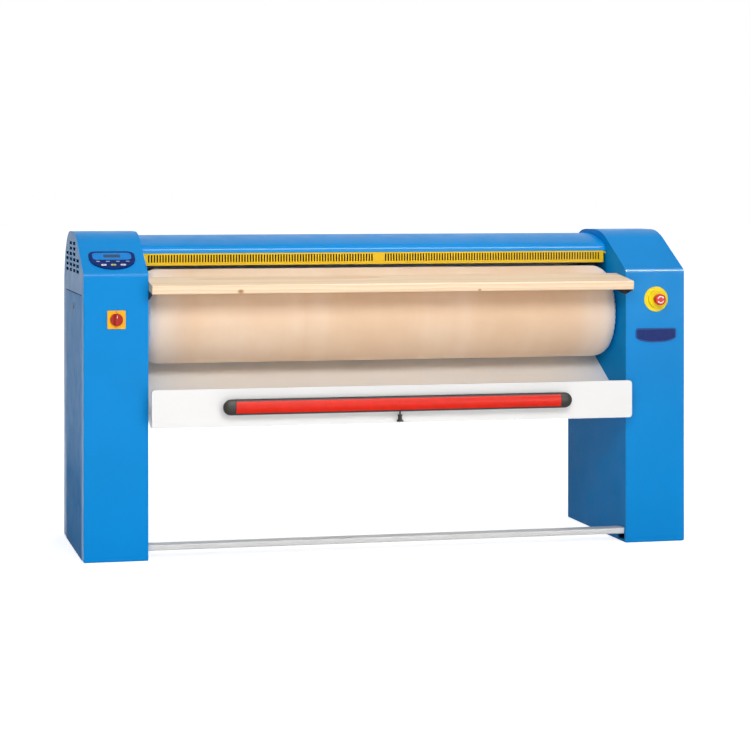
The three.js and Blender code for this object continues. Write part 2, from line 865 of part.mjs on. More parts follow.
// Roller: a welded drum with its journals, and the padding drawn over its ends

const drumRadius = rollerRadius - paddingThickness - seatGap;
const drumHalf = rollerHalfLength - paddingLipThickness - seatGap;
const sprocketInner = innerFace + chainPlane;
const sprocketOuter = sprocketInner + sprocketThickness;
const rightJournalEnd = sprocketOuter + journalRoot / 2;
const leftJournalEnd = frameOuter + seatGap + bearingDepth + journalRoot / 2;

function drumDisc(sign) {
  const outer = sign * (drumHalf - discRecess);
  const inner = outer - sign * discThickness;
  const circle = (journalRadius + drumRadius) / 2;
  const holes = [];
  for (let i = 0; i < discHoles; i += 1) {
    const angle = (i / discHoles) * Math.PI * 2;
    const y = rollerY + circle * Math.cos(angle);
    const z = rollerZ + circle * Math.sin(angle);
    holes.push(rodX(y, z, discHoleRadius, inner - sign * overrun, outer + sign * overrun, smallSides));
  }
  const disc = cut(rodX(rollerY, rollerZ, drumRadius - drumWall / 2, inner, outer, largeSides), ...holes);
  const end = sign > 0 ? rightJournalEnd : -leftJournalEnd;
  return join(disc, rodX(rollerY, rollerZ, journalRadius, inner - sign * journalRoot, end));
}

function rollerDrum() {
  const tube = cut(
    rodX(rollerY, rollerZ, drumRadius, -drumHalf, drumHalf, largeSides),
    rodX(rollerY, rollerZ, drumRadius - drumWall, -drumHalf - overrun, drumHalf + overrun, largeSides),
  );
  return join(tube, drumDisc(-1), drumDisc(1));
}

function rollerPadding() {
  const corner = rollerRadius - rollerShoulderDrop;
  const shoulder = rollerHalfLength - rollerShoulderReach;
  const rightEdge = arc(0, 0, 1, 90, 0, shoulderSteps).map(([out, along]) => [
    corner + out * rollerShoulderDrop,
    shoulder + along * rollerShoulderReach,
  ]);
  const cavityRadius = drumRadius + seatGap;
  const cavityHalf = drumHalf + seatGap;
  const lipRadius = drumRadius - paddingLipReach;
  const profile = [
    [lipRadius, rollerHalfLength],
    ...rightEdge,
    ...rightEdge.map(([radius, along]) => [radius, -along]).reverse(),
    [lipRadius, -rollerHalfLength],
    [lipRadius, -cavityHalf],
    [cavityRadius, -cavityHalf],
    [cavityRadius, cavityHalf],
    [lipRadius, cavityHalf],
  ];
  return turned(profile, 'x', 0, rollerY, rollerZ, largeSides);
}

add('roller_drum', rollerDrum(), finishes.darkSteel);
add('roller_padding', rollerPadding(), finishes.felt);

function rollerBearing(sign) {
  const near = sign * (frameOuter + seatGap);
  const flangeEnd = near + sign * bearingFlangeThickness;
  const half = bearingFlange / 2;
  const flange = roundedRectangle(
    rollerY - half,
    rollerY + half,
    rollerZ - half,
    rollerZ + half,
    bearingCornerRadius,
  );
  const hubEnd = near + sign * bearingDepth;
  return cut(
    join(barX(flange, near, flangeEnd), rodX(rollerY, rollerZ, journalRadius + bearingHubWall, near, hubEnd)),
    rodX(rollerY, rollerZ, journalRadius + runningGap, near - sign * overrun, hubEnd + sign * overrun),
  );
}

for (const { name, sign } of columnSides) {
  add(`roller_bearing_${name}`, rollerBearing(sign), finishes.castIron);
}

// Chain drive in the right column

const motorY = rollerY;
const driveRoom = pivotZ - armBossRadius - skirtHeight;
const driveHeight = driveRoom * driveHeightShare;
const motorZ = skirtHeight + driveHeight - gearboxSize / 2;
const pitchRadius = (teeth) => chainPitch / (2 * Math.sin(Math.PI / teeth));
const tipRadius = (teeth) => pitchRadius(teeth) + toothTipShare * chainPitch;

function sprocketOutline(y, z, teeth) {
  const root = pitchRadius(teeth) - chainRollerRadius;
  const tip = tipRadius(teeth);
  const points = [];
  for (let tooth = 0; tooth < teeth; tooth += 1) {
    const corners = [
      [root, -toothFlankShare],
      [tip, -toothCrownShare],
      [tip, toothCrownShare],
      [root, toothFlankShare],
    ];
    for (const [radius, share] of corners) {
      const angle = ((tooth + share) / teeth) * Math.PI * 2;
      points.push([y + radius * Math.cos(angle), z + radius * Math.sin(angle)]);
    }
  }
  return points;
}

function rollerSprocket() {
  const hubRadius = journalRadius + sprocketHubWall;
  return cut(
    join(
      barX(sprocketOutline(rollerY, rollerZ, rollerTeeth), sprocketInner, sprocketOuter),
      rodX(rollerY, rollerZ, hubRadius, sprocketInner - sprocketHubLength, sprocketOuter),
    ),
    rodX(
      rollerY,
      rollerZ,
      journalRadius + seatGap,
      sprocketInner - sprocketHubLength - overrun,
      sprocketOuter + overrun,
    ),
  );
}

const gearboxNear = frameOuter + seatGap;
const gearboxFar = sprocketInner - sprocketHubLength;

function motorSprocket() {
  return join(
    barX(sprocketOutline(motorY, motorZ, motorTeeth), sprocketInner, sprocketOuter),
    rodX(motorY, motorZ, motorHubRadius, gearboxFar + seatGap, sprocketOuter),
    rodX(motorY, motorZ, motorShaftRadius, gearboxFar - motorShaftDepth + seatGap, sprocketOuter),
  );
}

function gearmotor() {
  const half = gearboxSize / 2;
  const foot = half + gearboxFootOverhang;
  const motorX = (gearboxNear + gearboxFar) / 2;
  const body = join(
    block(gearboxNear, gearboxNear + gearboxFoot, motorY - foot, motorY + foot, motorZ - half, motorZ + half),
    block(gearboxNear, gearboxFar, motorY - half, motorY + half, motorZ - half, motorZ + half),
    rodZ(motorX, motorY, motorRadius, motorZ + half - driveHeight, motorZ),
  );
  const bore = motorShaftRadius + runningGap;
  return cut(body, rodX(motorY, motorZ, bore, gearboxFar - motorShaftDepth, gearboxFar + overrun));
}

function chainLoop(extra) {
  const large = tipRadius(rollerTeeth) + chainGap + extra;
  const small = tipRadius(motorTeeth) + chainGap + extra;
  const run = Math.hypot(motorY - rollerY, motorZ - rollerZ);
  const towards = Math.atan2(motorZ - rollerZ, motorY - rollerY) / radians;
  const lean = Math.acos((large - small) / run) / radians;
  return [
    ...arc(rollerY, rollerZ, large, towards + lean, towards + 360 - lean, arcSteps * 4),
    ...arc(motorY, motorZ, small, towards - lean, towards + lean, arcSteps * 2),
  ];
}

function driveChain() {
  const middle = (sprocketInner + sprocketOuter) / 2;
  return barX(chainLoop(chainHeight), middle - chainWidth / 2, middle + chainWidth / 2, [chainLoop(0)]);
}

add('roller_sprocket', rollerSprocket(), finishes.darkSteel);
add('motor_sprocket', motorSprocket(), finishes.darkSteel);
add('gearmotor', gearmotor(), finishes.castIron);
add('drive_chain', driveChain(), finishes.zincSteel);

// Heated chest, its tubular element and its insulated cover

const chestHalfLength = innerFace - chestEndRoom;
const chestSpan = chestUpperAngle - chestLowerAngle;
const chestSteps = arcSteps * 3;

function chest() {
  const outline = [
    ...arc(rollerY, rollerZ, chestOuter, chestLowerAngle, chestUpperAngle, chestSteps),
    ...arc(rollerY, rollerZ, chestInner, chestUpperAngle, chestLowerAngle, chestSteps),
  ];
  return barX(outline.map(opened), -chestHalfLength, chestHalfLength);
}

function elementPlace(index) {
  const span = chestSpan - elementEdgeAngle * 2;
  const angle = (chestLowerAngle + elementEdgeAngle + (span * index) / (elementPasses - 1)) * radians;
  const radius = chestOuter + seatGap + elementRadius;
  return opened([rollerY + radius * Math.cos(angle), rollerZ + radius * Math.sin(angle)]);
}

function heatingElement() {
  const end = chestHalfLength - elementEndInset;
  const bend = elementRadius * 2;
  let tube = null;
  for (let i = 0; i < elementPasses; i += 1) {
    const [y, z] = elementPlace(i);
    const pass = rodX(y, z, elementRadius, -end, end, smallSides);
    tube = tube ? join(tube, pass) : pass;
    if (i > 0) {
      const [fromY, fromZ] = elementPlace(i - 1);
      const inner = (i % 2 ? 1 : -1) * (end - bend);
      const outer = (i % 2 ? 1 : -1) * end;
      tube = join(tube, strap(fromY, fromZ, y, z, elementRadius, inner, outer));
    }
  }
  return tube;
}

function chestCover() {
  const lip = chestOuter + seatGap;
  const outline = [
    ...arc(rollerY, rollerZ, coverOuter, chestLowerAngle, chestUpperAngle, chestSteps),
    ...arc(rollerY, rollerZ, lip, chestUpperAngle, chestUpperAngle - coverLipAngle, 1),
    ...arc(
      rollerY,
      rollerZ,
      coverInner,
      chestUpperAngle - coverLipAngle,
      chestLowerAngle + coverLipAngle,
      chestSteps,
    ),
    ...arc(rollerY, rollerZ, lip, chestLowerAngle + coverLipAngle, chestLowerAngle, 1),
  ];
  return barX(outline.map(opened), -chestHalfLength, chestHalfLength);
}

function saddle(x) {
  const outline = [
    ...arc(rollerY, rollerZ, coverOuter + seatGap, -saddleAngle, saddleAngle, cornerSteps),
    [beamPressed[0], beamPressed[1] + beamRadius / 2],
    [beamPressed[0], beamPressed[1] - beamRadius / 2],
  ];
  return barX(outline.map(opened), x - saddleThickness / 2, x + saddleThickness / 2);
}

function chestArm(sign) {
  const near = sign * (innerFace + armInset);
  const far = near + sign * armThickness;
  const corners = [[pivotY, pivotZ], beamRest, lugRest];
  const plate = join(
    barX(corners, near, far),
    rodX(pivotY, pivotZ, armBossRadius, near, far),
    rodX(beamRest[0], beamRest[1], armBeamBossRadius, near, far),
    rodX(lugRest[0], lugRest[1], armBossRadius, near, far),
    strap(pivotY, pivotZ, beamRest[0], beamRest[1], armBossRadius, near, far),
    strap(pivotY, pivotZ, lugRest[0], lugRest[1], armBossRadius, near, far),
    strap(lugRest[0], lugRest[1], beamRest[0], beamRest[1], armBossRadius, near, far),
  );
  const bored = cut(
    plate,
    rodX(pivotY, pivotZ, pivotPinRadius + runningGap, near - sign * overrun, far + sign * overrun),
  );
  if (sign > 0) {
    return bored;
  }
  return join(bored, rodX(lugRest[0], lugRest[1], lugPinRadius, near, far + sign * lugPinLength, smallSides));
}

function chestYoke() {
  const end = frameOuter + beamEndLength;
  return join(
    rodX(beamRest[0], beamRest[1], beamRadius, -end, end),
    saddle(-saddleSpacing),
    saddle(0),
    saddle(saddleSpacing),
    chestArm(-1),
    chestArm(1),
  );
}

add('chest', chest(), finishes.aluminium);
add('heating_element', heatingElement(), finishes.darkSteel);
add('chest_cover', chestCover(), finishes.insulation);
add('chest_yoke', chestYoke(), finishes.castIron);

// The press actuator in the left column lifts the yoke's lug

const rodX0 = -(innerFace + rodPlane);
const actuatorTop = lugRest[1] - eyeHalfWidth - rodExposed;

function pressActuator() {
  const bottom = actuatorTop - actuatorLength;
  const footBottom = actuatorTop - actuatorBoreDepth / 2 - actuatorFootHeight / 2;
  const half = actuatorFootWidth / 2;
  const body = join(
    rodZ(rodX0, lugRest[0], actuatorRadius, bottom, actuatorTop),
    block(
      -(frameOuter + seatGap),
      -(frameOuter + actuatorFootReach),
      lugRest[0] - half,
      lugRest[0] + half,
      footBottom,
      footBottom + actuatorFootHeight,
    ),
  );
  const bore = pressRodRadius + runningGap;
  return cut(body, rodZ(rodX0, lugRest[0], bore, actuatorTop - actuatorBoreDepth, actuatorTop + overrun));
}

function pressRod() {
  const near = rodX0 - eyeThickness / 2;
  const far = rodX0 + eyeThickness / 2;
  const [y, z] = lugRest;
  const tail = actuatorTop - actuatorBoreDepth + seatGap;
  return cut(
    join(
      rodX(y, z, eyeHalfWidth, near, far),
      rodZ(rodX0, y, pressRodRadius, tail, z - eyeHalfWidth / 2),
    ),
    rodX(y, z, lugPinRadius + eyeClearance, near - overrun, far + overrun, smallSides),
  );
}

add('press_actuator', pressActuator(), finishes.darkSteel);
add('press_rod', pressRod(), finishes.zincSteel);

// Slotted finger guard over the roller's nip

function guardSlots() {
  const count = Math.floor((guardHalfLength - guardSlotEndMargin) / guardSlotPitch) * 2;
  const top = guardTop - guardSlotTopMargin;
  const front = guardFrontY - overrun;
  const back = guardFrontY + guardSheet + overrun;
  const slots = [];
  for (let i = 0; i < count; i += 1) {
    const x = (i - (count - 1) / 2) * guardSlotPitch;
    if (Math.abs(x) > guardPlainWidth / 2) {
      const half = guardSlotWidth / 2;
      slots.push(block(x - half, x + half, front, back, top - guardSlotHeight, top));
    }
  }
  return slots;
}

function fingerGuard() {
  const back = guardFrontY + guardSheet;
  const face = block(-guardHalfLength, guardHalfLength, guardFrontY, back, guardBottom, guardTop);
  const flangeBack = guardFrontY + guardFlange;
  const pieces = [
    cut(face, ...guardSlots()),
    block(-guardHalfLength, guardHalfLength, back, flangeBack, guardTop - guardSheet, guardTop),
  ];
  for (const { sign } of columnSides) {
    const tab = sign * (guardHalfLength - guardSheet);
    const end = sign * guardHalfLength;
    pieces.push(block(tab, end, back, flangeBack + guardSheet, guardTop - guardPinTab, guardTop));
    const tip = sign * (innerFace + guardPinReach);
    pieces.push(rodX(guardPinY, guardPinZ, guardPinRadius, tab, tip, smallSides));
  }
  return join(...pieces);
}

add('finger_guard', fingerGuard(), finishes.yellowPaint);

// Wooden feed board, tilted towards the operator, on two brackets

const tilt = boardTilt * radians;
const boardFrontY = frontFace - boardOverhang;
const boardFrontTop = rollerZ + boardRise;
const boardHalfLength = innerFace - boardEndRoom;
const boardBackY = rollerY - Math.sqrt(rollerRadius ** 2 - boardRise ** 2) - boardNipGap;
const boardDepth = (boardBackY - boardFrontY) / Math.cos(tilt);

function onBoard([along, above]) {
  return [
    boardFrontY + along * Math.cos(tilt) - above * Math.sin(tilt),
    boardFrontTop + along * Math.sin(tilt) + above * Math.cos(tilt),
  ];
}

function feedBoard() {
  const r = boardEdgeRadius;
  const outline = [
    ...arc(r, -boardThickness + r, r, 270, 180, cornerSteps),
    ...arc(r, -r, r, 180, 90, cornerSteps),
    ...arc(boardDepth - r, -r, r, 90, 0, cornerSteps),
    [boardDepth, boardBackChamfer - boardThickness],
    [boardDepth - boardBackChamfer, -boardThickness],
  ];
  return barX(outline.map(onBoard).reverse(), -boardHalfLength, boardHalfLength);
}

function boardBracket(sign) {
  const outer = sign * (innerFace - seatGap);
  const inner = outer - sign * bracketSheet;
  const footTop = -boardThickness - seatGap;
  const cheek = [
    [bracketFrontInset, footTop - bracketTipHeight],
    [bracketFrontInset + bracketSlope, footTop - bracketDrop],
    [bracketFrontInset + bracketLength, footTop - bracketDrop],
    [bracketFrontInset + bracketLength, footTop],
    [bracketFrontInset, footTop],
  ];
  const foot = [
    [bracketFootStart, footTop - bracketSheet],
    [bracketFootStart + bracketFootLength, footTop - bracketSheet],
    [bracketFootStart + bracketFootLength, footTop],
    [bracketFootStart, footTop],
  ];
  return join(
    barX(cheek.map(onBoard), inner, outer),
    barX(foot.map(onBoard), outer, outer - sign * bracketFootWidth),
  );
}

add('feed_board', feedBoard(), finishes.pine);
for (const { name, sign } of columnSides) {
  add(`board_bracket_${name}`, boardBracket(sign), finishes.zincSteel);
}

// Linen tray: a sloping sheet that ends behind a white fascia

const fasciaY = frontFace - fasciaOverhang;
const fasciaTop = rollerZ - fasciaDrop;
const fasciaBottom = fasciaTop - fasciaHeight;
const fasciaHalfLength = innerFace - fasciaEndRoom;
const lowerAngle = chestLowerAngle * radians;
const chestCorner = opened([
  rollerY + coverOuter * Math.cos(lowerAngle),
  rollerZ + coverOuter * Math.sin(lowerAngle),
]);
const trayBackY = chestCorner[0] - trayBackGap;
const trayBackZ = chestCorner[1] + trayBackRise;
const trayBendY = fasciaY + trayBendInset;
const trayBendZ = fasciaBottom + trayBendRise;
const tripZ = fasciaTop - tripDrop;
const tripHalfLength = innerFace - tripEndInset;
const tripPinX = tripHalfLength - tripPinInset;

function traySheetBody() {
  const rim = fasciaY + fasciaDepth + seatGap + traySheet;
  const floor = fasciaBottom + traySheet;
  const path = [
    [trayBackY, trayBackZ - trayBackFlange],
    [trayBackY, trayBackZ],
    [trayBendY, trayBendZ],
    [rim, floor],
    [rim, floor + trayLip],
  ];
  return barX(ribbon(path, traySheet), -crossHalf, crossHalf);
}

function trayFascia() {
  const half = fasciaHalfLength;
  const r = fasciaCornerRadius;
  const s = fasciaSheet;
  const outline = roundedRectangle(-half, half, fasciaBottom, fasciaTop, r);
  const hollow = roundedRectangle(-half + s, half - s, fasciaBottom + s, fasciaTop - s, r - s);
  const back = fasciaY + fasciaDepth;
  const holes = columnSides.map(({ sign }) => (
    rodY(sign * tripPinX, tripZ, tripPinRadius + runningGap, fasciaY - overrun, back)
  ));
  return cut(barY(outline, fasciaY, back), barY(hollow, fasciaY + s, back + overrun), ...holes);
}

add('tray_sheet', traySheetBody(), finishes.whitePaint);
add('tray_fascia', trayFascia(), finishes.whitePaint);

// Trip bar in front of the fascia, on two guide pins

const holderBack = fasciaY - tripStandoff;
const holderFront = holderBack - tripHolderDepth;
const insertBack = holderFront + tripInsertDepth;
const holderHalf = tripHalfLength - tripCapLength;
const plungerBore = (insertBack + holderBack) / 2;

function tripHolder() {
  const half = tripHeight / 2;
  const round = Math.min(tripHolderRadius, tripHolderDepth / 2);
  const outline = roundedRectangle(holderFront, holderBack, tripZ - half, tripZ + half, round);
  const recess = tripInsertHeight / 2 + seatGap;
  const end = holderHalf + overrun;
  const boreTop = tripZ - half + plungerPinInside + plungerBoreSpare;
  const body = cut(
    barX(outline, -holderHalf, holderHalf),
    block(-end, end, holderFront - overrun, insertBack + seatGap, tripZ - recess, tripZ + recess),
    rodZ(0, plungerBore, plungerPinRadius + runningGap, tripZ - half - overrun, boreTop, smallSides),
  );
  const skinBack = fasciaY + fasciaSheet;
  const collar = skinBack + seatGap;
  const pinEnd = collar + tripCollarThickness;
  const pins = columnSides.flatMap(({ sign }) => [
    rodY(sign * tripPinX, tripZ, tripPinRadius, holderBack - overrun, pinEnd, smallSides),
    rodY(sign * tripPinX, tripZ, tripCollarRadius, collar, pinEnd, smallSides),
  ]);
  return join(body, ...pins);
}

function tripInsert() {
  const half = tripInsertHeight / 2;
  const crownRadius = (half ** 2 + tripInsertCrown ** 2) / (2 * tripInsertCrown);
  const spread = Math.asin(half / crownRadius) / radians;
  const centre = holderFront - tripInsertCrown + crownRadius;
  const outline = [
    ...arc(centre, tripZ, crownRadius, 180 - spread, 180 + spread, arcSteps),
    [insertBack, tripZ - half],
    [insertBack, tripZ + half],
  ];
  return barX(outline, -holderHalf, holderHalf);
}

function tripCap(sign) {
  const depth = tripHolderDepth + tripInsertCrown;
  const middle = holderBack - depth / 2;
  const start = sign * (holderHalf + seatGap);
  const round = tripHeight / 2;
  const roundStart = sign * (tripHalfLength - round);
  const dome = new THREE.SphereGeometry(1, roundSides, smallSides);
  dome.rotateZ(Math.PI / 2);
  dome.scale(round, depth / 2, round);
  dome.translate(roundStart, middle, tripZ);
  const sleeve = new THREE.CylinderGeometry(1, 1, Math.abs(roundStart - start), roundSides);
  sleeve.rotateZ(Math.PI / 2);
  sleeve.scale(1, depth / 2, round);
  sleeve.translate((start + roundStart) / 2, middle, tripZ);
  const room = tripHeight;
  const behind = block(start - sign * room, start, middle - room, middle + room, tripZ - room, tripZ + room);
  return cut(join(toSolid(dome), toSolid(sleeve)), behind);
}

function plungerKnob() {
  const top = tripZ - tripHeight / 2 - plungerPinBelow;
  const shoulder = plungerHeight / 3;
  const profile = [
    [0, -plungerHeight],
    [plungerBaseRadius, -plungerHeight],
    [plungerBaseRadius, -plungerHeight + plungerPinRadius],
    [plungerNeckRadius, -plungerHeight + shoulder],
    [plungerNeckRadius, -shoulder],
    [plungerNeckRadius + plungerPinRadius / 2, 0],
    [plungerPinRadius, 0],
    [plungerPinRadius, plungerPinBelow + plungerPinInside],
    [0, plungerPinBelow + plungerPinInside],
  ];
  return turned(profile, 'z', 0, plungerBore, top, smallSides * 2);
}

add('trip_bar_holder', tripHolder(), finishes.blackPlastic);
add('trip_bar_insert', tripInsert(), finishes.redPlastic);
for (const { name, sign } of columnSides) {
  add(`trip_bar_cap_${name}`, tripCap(sign), finishes.blackRubber);
}
add('plunger_knob', plungerKnob(), finishes.blackPlastic);

// Pedal bar near the floor, on two arms that turn inside the columns

const pedalArmNear = innerFace + armInset;
const pedalBarHalf = pedalArmNear - seatGap;

function pedalBar() {
  const path = [
    [pedalFrontY, pedalBottom],
    [pedalFrontY, pedalTop],
    [pedalBackY, pedalTop],
    [pedalBackY, pedalBottom],
  ];
  return barX(ribbon(path, -pedalSheet).reverse(), -pedalBarHalf, pedalBarHalf);
}

const pedalFootY = (pedalFrontY + pedalBackY) / 2;
const pedalFootZ = (pedalBottom + pedalTop) / 2;

function pedalArm(sign) {
  const near = sign * pedalArmNear;
  const far = near + sign * pedalArmThickness;
  return cut(
    join(
      block(near, far, pedalFrontY, pedalBackY, pedalBottom, pedalTop),
      strap(pedalFootY, pedalFootZ, pedalPivotY, pedalPivotZ, pedalArmWidth, near, far),
      rodX(pedalPivotY, pedalPivotZ, pedalBossRadius, near, far),
    ),
    rodX(pedalPivotY, pedalPivotZ, pedalPinRadius + runningGap, near - sign * overrun, far + sign * overrun),
  );
}

function pedalSpring() {
  const share = (pedalSpringY - pedalFootY) / (pedalPivotY - pedalFootY);
  const lean = Math.atan2(pedalPivotZ - pedalFootZ, pedalPivotY - pedalFootY);
  const armMiddle = pedalFootZ + share * (pedalPivotZ - pedalFootZ);
  const drop = pedalArmWidth / 2 / Math.cos(lean) + pedalSpringRadius * Math.tan(lean);
  const bottom = basePlate + seatGap;
  const top = armMiddle - drop - seatGap;
  const x = -(pedalArmNear + pedalArmThickness / 2);
  const inner = pedalSpringRadius - pedalSpringWall;
  return cut(
    rodZ(x, pedalSpringY, pedalSpringRadius, bottom, top),
    rodZ(x, pedalSpringY, inner, bottom - overrun, top + overrun),
  );
}

add('pedal_bar', pedalBar(), finishes.greyPaint);
for (const { name, sign } of columnSides) {
  add(`pedal_arm_${name}`, pedalArm(sign), finishes.darkSteel);
}
add('pedal_spring', pedalSpring(), finishes.zincSteel);

// Control panel on the left column's slope, drawn flat: X across, Y up the slope, Z out of it

const slopeUp = new THREE.Vector3(0, Math.cos(slope), Math.sin(slope));
const slopeOut = new THREE.Vector3(0, -Math.sin(slope), Math.cos(slope));

function onSlope(outline, from, to, holes = []) {
  const start = new THREE.Vector3(-columnMiddle - panelOffset, frontFace, foldHeight);
  start.addScaledVector(slopeUp, panelUp).addScaledVector(slopeOut, from);
  return prism(outline, holes, unitX, slopeUp, slopeOut, start, to - from);
}

// Straight top, rounded upper corners, short sides and an arched bottom
function shieldOutline(x, y, width, height, radius, sideHeight) {
  const half = width / 2;
  const top = height / 2;
  const belly = top - radius - sideHeight;
  const steps = arcSteps * 2;
  const bottom = [];
  for (let i = 0; i <= steps; i += 1) {
    const angle = Math.PI + (Math.PI * i) / steps;
    bottom.push([x + half * Math.cos(angle), y + belly + (top + belly) * Math.sin(angle)]);
  }
  return [
    ...arc(x + half - radius, y + top - radius, radius, 0, 90, cornerSteps),
    ...arc(x - half + radius, y + top - radius, radius, 90, 180, cornerSteps),
    ...bottom,
  ];
}

const pill = (x, y, width, height, spare) => roundedRectangle(
  x - width / 2 - spare,
  x + width / 2 + spare,
  y - height / 2 - spare,
  y + height / 2 + spare,
  height / 2 + spare,
);
const windowShape = (spare) => roundedRectangle(
  -windowWidth / 2 - spare,
  windowWidth / 2 + spare,
  windowUp - windowHeight / 2 - spare,
  windowUp + windowHeight / 2 + spare,
  windowDepth + spare,
);
const panelFace = seatGap + panelThickness;
const keyPlaces = [
  { name: 'start_key', x: -keyPitch, finish: finishes.whitePlastic },
  { name: 'stop_key', x: 0, finish: finishes.greenPlastic },
  { name: 'speed_key', x: keyPitch, finish: finishes.whitePlastic },
];

function controlPanel() {
  const holes = keyPlaces.map(({ x }) => pill(x, -keyDrop, keyWidth, keyHeight, keyGap).reverse());
  const outline = shieldOutline(0, 0, panelWidth, panelHeight, panelCornerRadius, panelSideHeight);
  const plate = onSlope(outline, seatGap, panelFace, holes);
  return cut(plate, onSlope(windowShape(seatGap), panelFace - windowDepth, panelFace + overrun));
}

add('control_panel', controlPanel(), finishes.navyPlastic);
add(
  'display_window',
  onSlope(windowShape(0), panelFace - windowDepth + seatGap, panelFace),
  finishes.displayLens,
);
for (const { name, x, finish } of keyPlaces) {
  const outline = pill(x, -keyDrop, keyWidth, keyHeight, 0);
  const key = onSlope(outline, seatGap * 2 + keyStroke, panelFace + keyProud);
  add(name, key, finish);
}

// Main switch: a plate with the switch body behind it, and a turning knob

function switchPlateBody() {
  const half = switchPlate / 2;
  const face = frontFace - seatGap - switchPlateThickness;
  const outline = roundedRectangle(
    -switchX - half,
    -switchX + half,
    switchZ - half,
    switchZ + half,
    switchPlateRadius,
  );
  const body = switchBodySize / 2;
  const front = frontFace - switchPlateThickness;
  const back = frontFace + switchBodyDepth;
  const boreEnd = face + knobShaftLength;
  return cut(
    join(
      barY(outline, face, frontFace - seatGap),
      block(-switchX - body, -switchX + body, front, back, switchZ - body, switchZ + body),
    ),
    rodY(-switchX, switchZ, knobShaftRadius + runningGap, face - overrun, boreEnd, smallSides),
  );
}

function switchKnob() {
  const face = frontFace - seatGap * 2 - switchPlateThickness;
  const front = face - knobBase - knobGripHeight;
  const half = knobGripWidth / 2;
  const reach = knobRadius - knobGripWidth / 4;
  const shaftEnd = face + knobShaftLength - seatGap * 2;
  return join(
    rodY(-switchX, switchZ, knobRadius, face - knobBase, face),
    block(-switchX - half, -switchX + half, front, face, switchZ - reach, switchZ + reach),
    rodY(-switchX, switchZ, knobShaftRadius, face - knobBase, shaftEnd, smallSides),
  );
}

add('main_switch_plate', switchPlateBody(), finishes.yellowPlastic);
add('main_switch_knob', switchKnob(), finishes.redPlastic);

// Emergency stop: yellow disc and collar, a stem that is pressed in and a head that twists on it

const stopCollarFace = frontFace - seatGap - stopDiscThickness - stopCollarHeight;
const stopHeadBack = stopCollarFace - stopStroke - stopStrokeSpare;
const stopHeadFace = stopHeadBack - stopHeadDepth;
const stopStemTail = stopCollarFace + stopStemInside;

function stopPlate() {
  const discFace = frontFace - seatGap - stopDiscThickness;
  const inside = frontFace + panelSheet + seatGap;
  const half = stopBlockSize / 2;
  return cut(
    join(
      rodY(stopX, stopZ, stopDiscRadius, discFace, frontFace - seatGap, largeSides / 2),
      rodY(stopX, stopZ, stopCollarRadius, stopCollarFace, discFace),
      rodY(stopX, stopZ, stopBarrelRadius, discFace, inside + stopBlockDepth / 2),
      block(stopX - half, stopX + half, inside, inside + stopBlockDepth, stopZ - half, stopZ + half),
    ),
    rodY(
      stopX,
      stopZ,
      stopStemRadius + runningGap,
      stopCollarFace - overrun,
      stopStemTail + stopStroke + stopStrokeSpare,
    ),
  );
}

function stopStem() {
  return rodY(stopX, stopZ, stopStemRadius, stopHeadBack - stopHeadBore + seatGap, stopStemTail);
}

function stopHead() {
  const edge = stopHeadRadius / 8;
  const profile = [
    [0, 0],
    [stopHeadRadius - edge, 0],
    [stopHeadRadius, edge],
    [stopHeadRadius, stopHeadDepth / 3],
    [stopHeadBackRadius, stopHeadDepth],
    [stopStemRadius + runningGap, stopHeadDepth],
    [stopStemRadius + runningGap, stopHeadDepth - stopHeadBore],
    [0, stopHeadDepth - stopHeadBore],
  ];
  return turned(profile, 'y', stopX, stopHeadFace, stopZ);
}

add('stop_button_plate', stopPlate(), finishes.yellowPlastic);
add('stop_button_stem', stopStem(), finishes.redPlastic);
add('stop_button_head', stopHead(), finishes.redPlastic);

// Blank badge plate, switchgear box and cable gland

function badgePlate() {
  const x = columnMiddle + badgeOffset;
  const z = foldHeight - badgeDrop;
  const outline = shieldOutline(x, z, badgeWidth, badgeHeight, badgeRadius, badgeSideHeight);
  return barY(outline, frontFace - seatGap - badgeThickness, frontFace - seatGap);
}

function switchgearBox() {
  const front = frontFace + boxFrontInset;
  const near = -(frameOuter + seatGap);
  const top = switchZ - switchBodySize / 2 - boxTopGap;
  return block(near - boxWidth, near, front, front + boxDepth, top - boxHeight, top);
}

function cableGland() {
  const profile = [
    [glandBore, -panelSheet - glandTailLength],
    [glandThreadRadius, -panelSheet - glandTailLength],
    [glandThreadRadius, seatGap],
    [glandHeadRadius, seatGap],
    [glandHeadRadius, glandHeadLength / 2],
    [glandThreadRadius, glandHeadLength],
    [glandBore, glandHeadLength],
  ];
  return turned(profile, 'y', -glandX, rearFace, glandZ);
}

add('badge_plate', badgePlate(), finishes.navyPlastic);
add('switchgear_box', switchgearBox(), finishes.greyPaint);
add('cable_gland', cableGland(), finishes.blackPlastic);

// The group's origin is on the floor, under the middle of everything

const frontReach = holderFront - tripInsertCrown;
const rearReach = rearFace + glandHeadLength;
machine.position.y = -(frontReach + rearReach) / 2;
machine.updateMatrixWorld(true);

export default machine;
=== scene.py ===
import bpy
import bmesh
import math
from mathutils import Matrix, Vector, noise


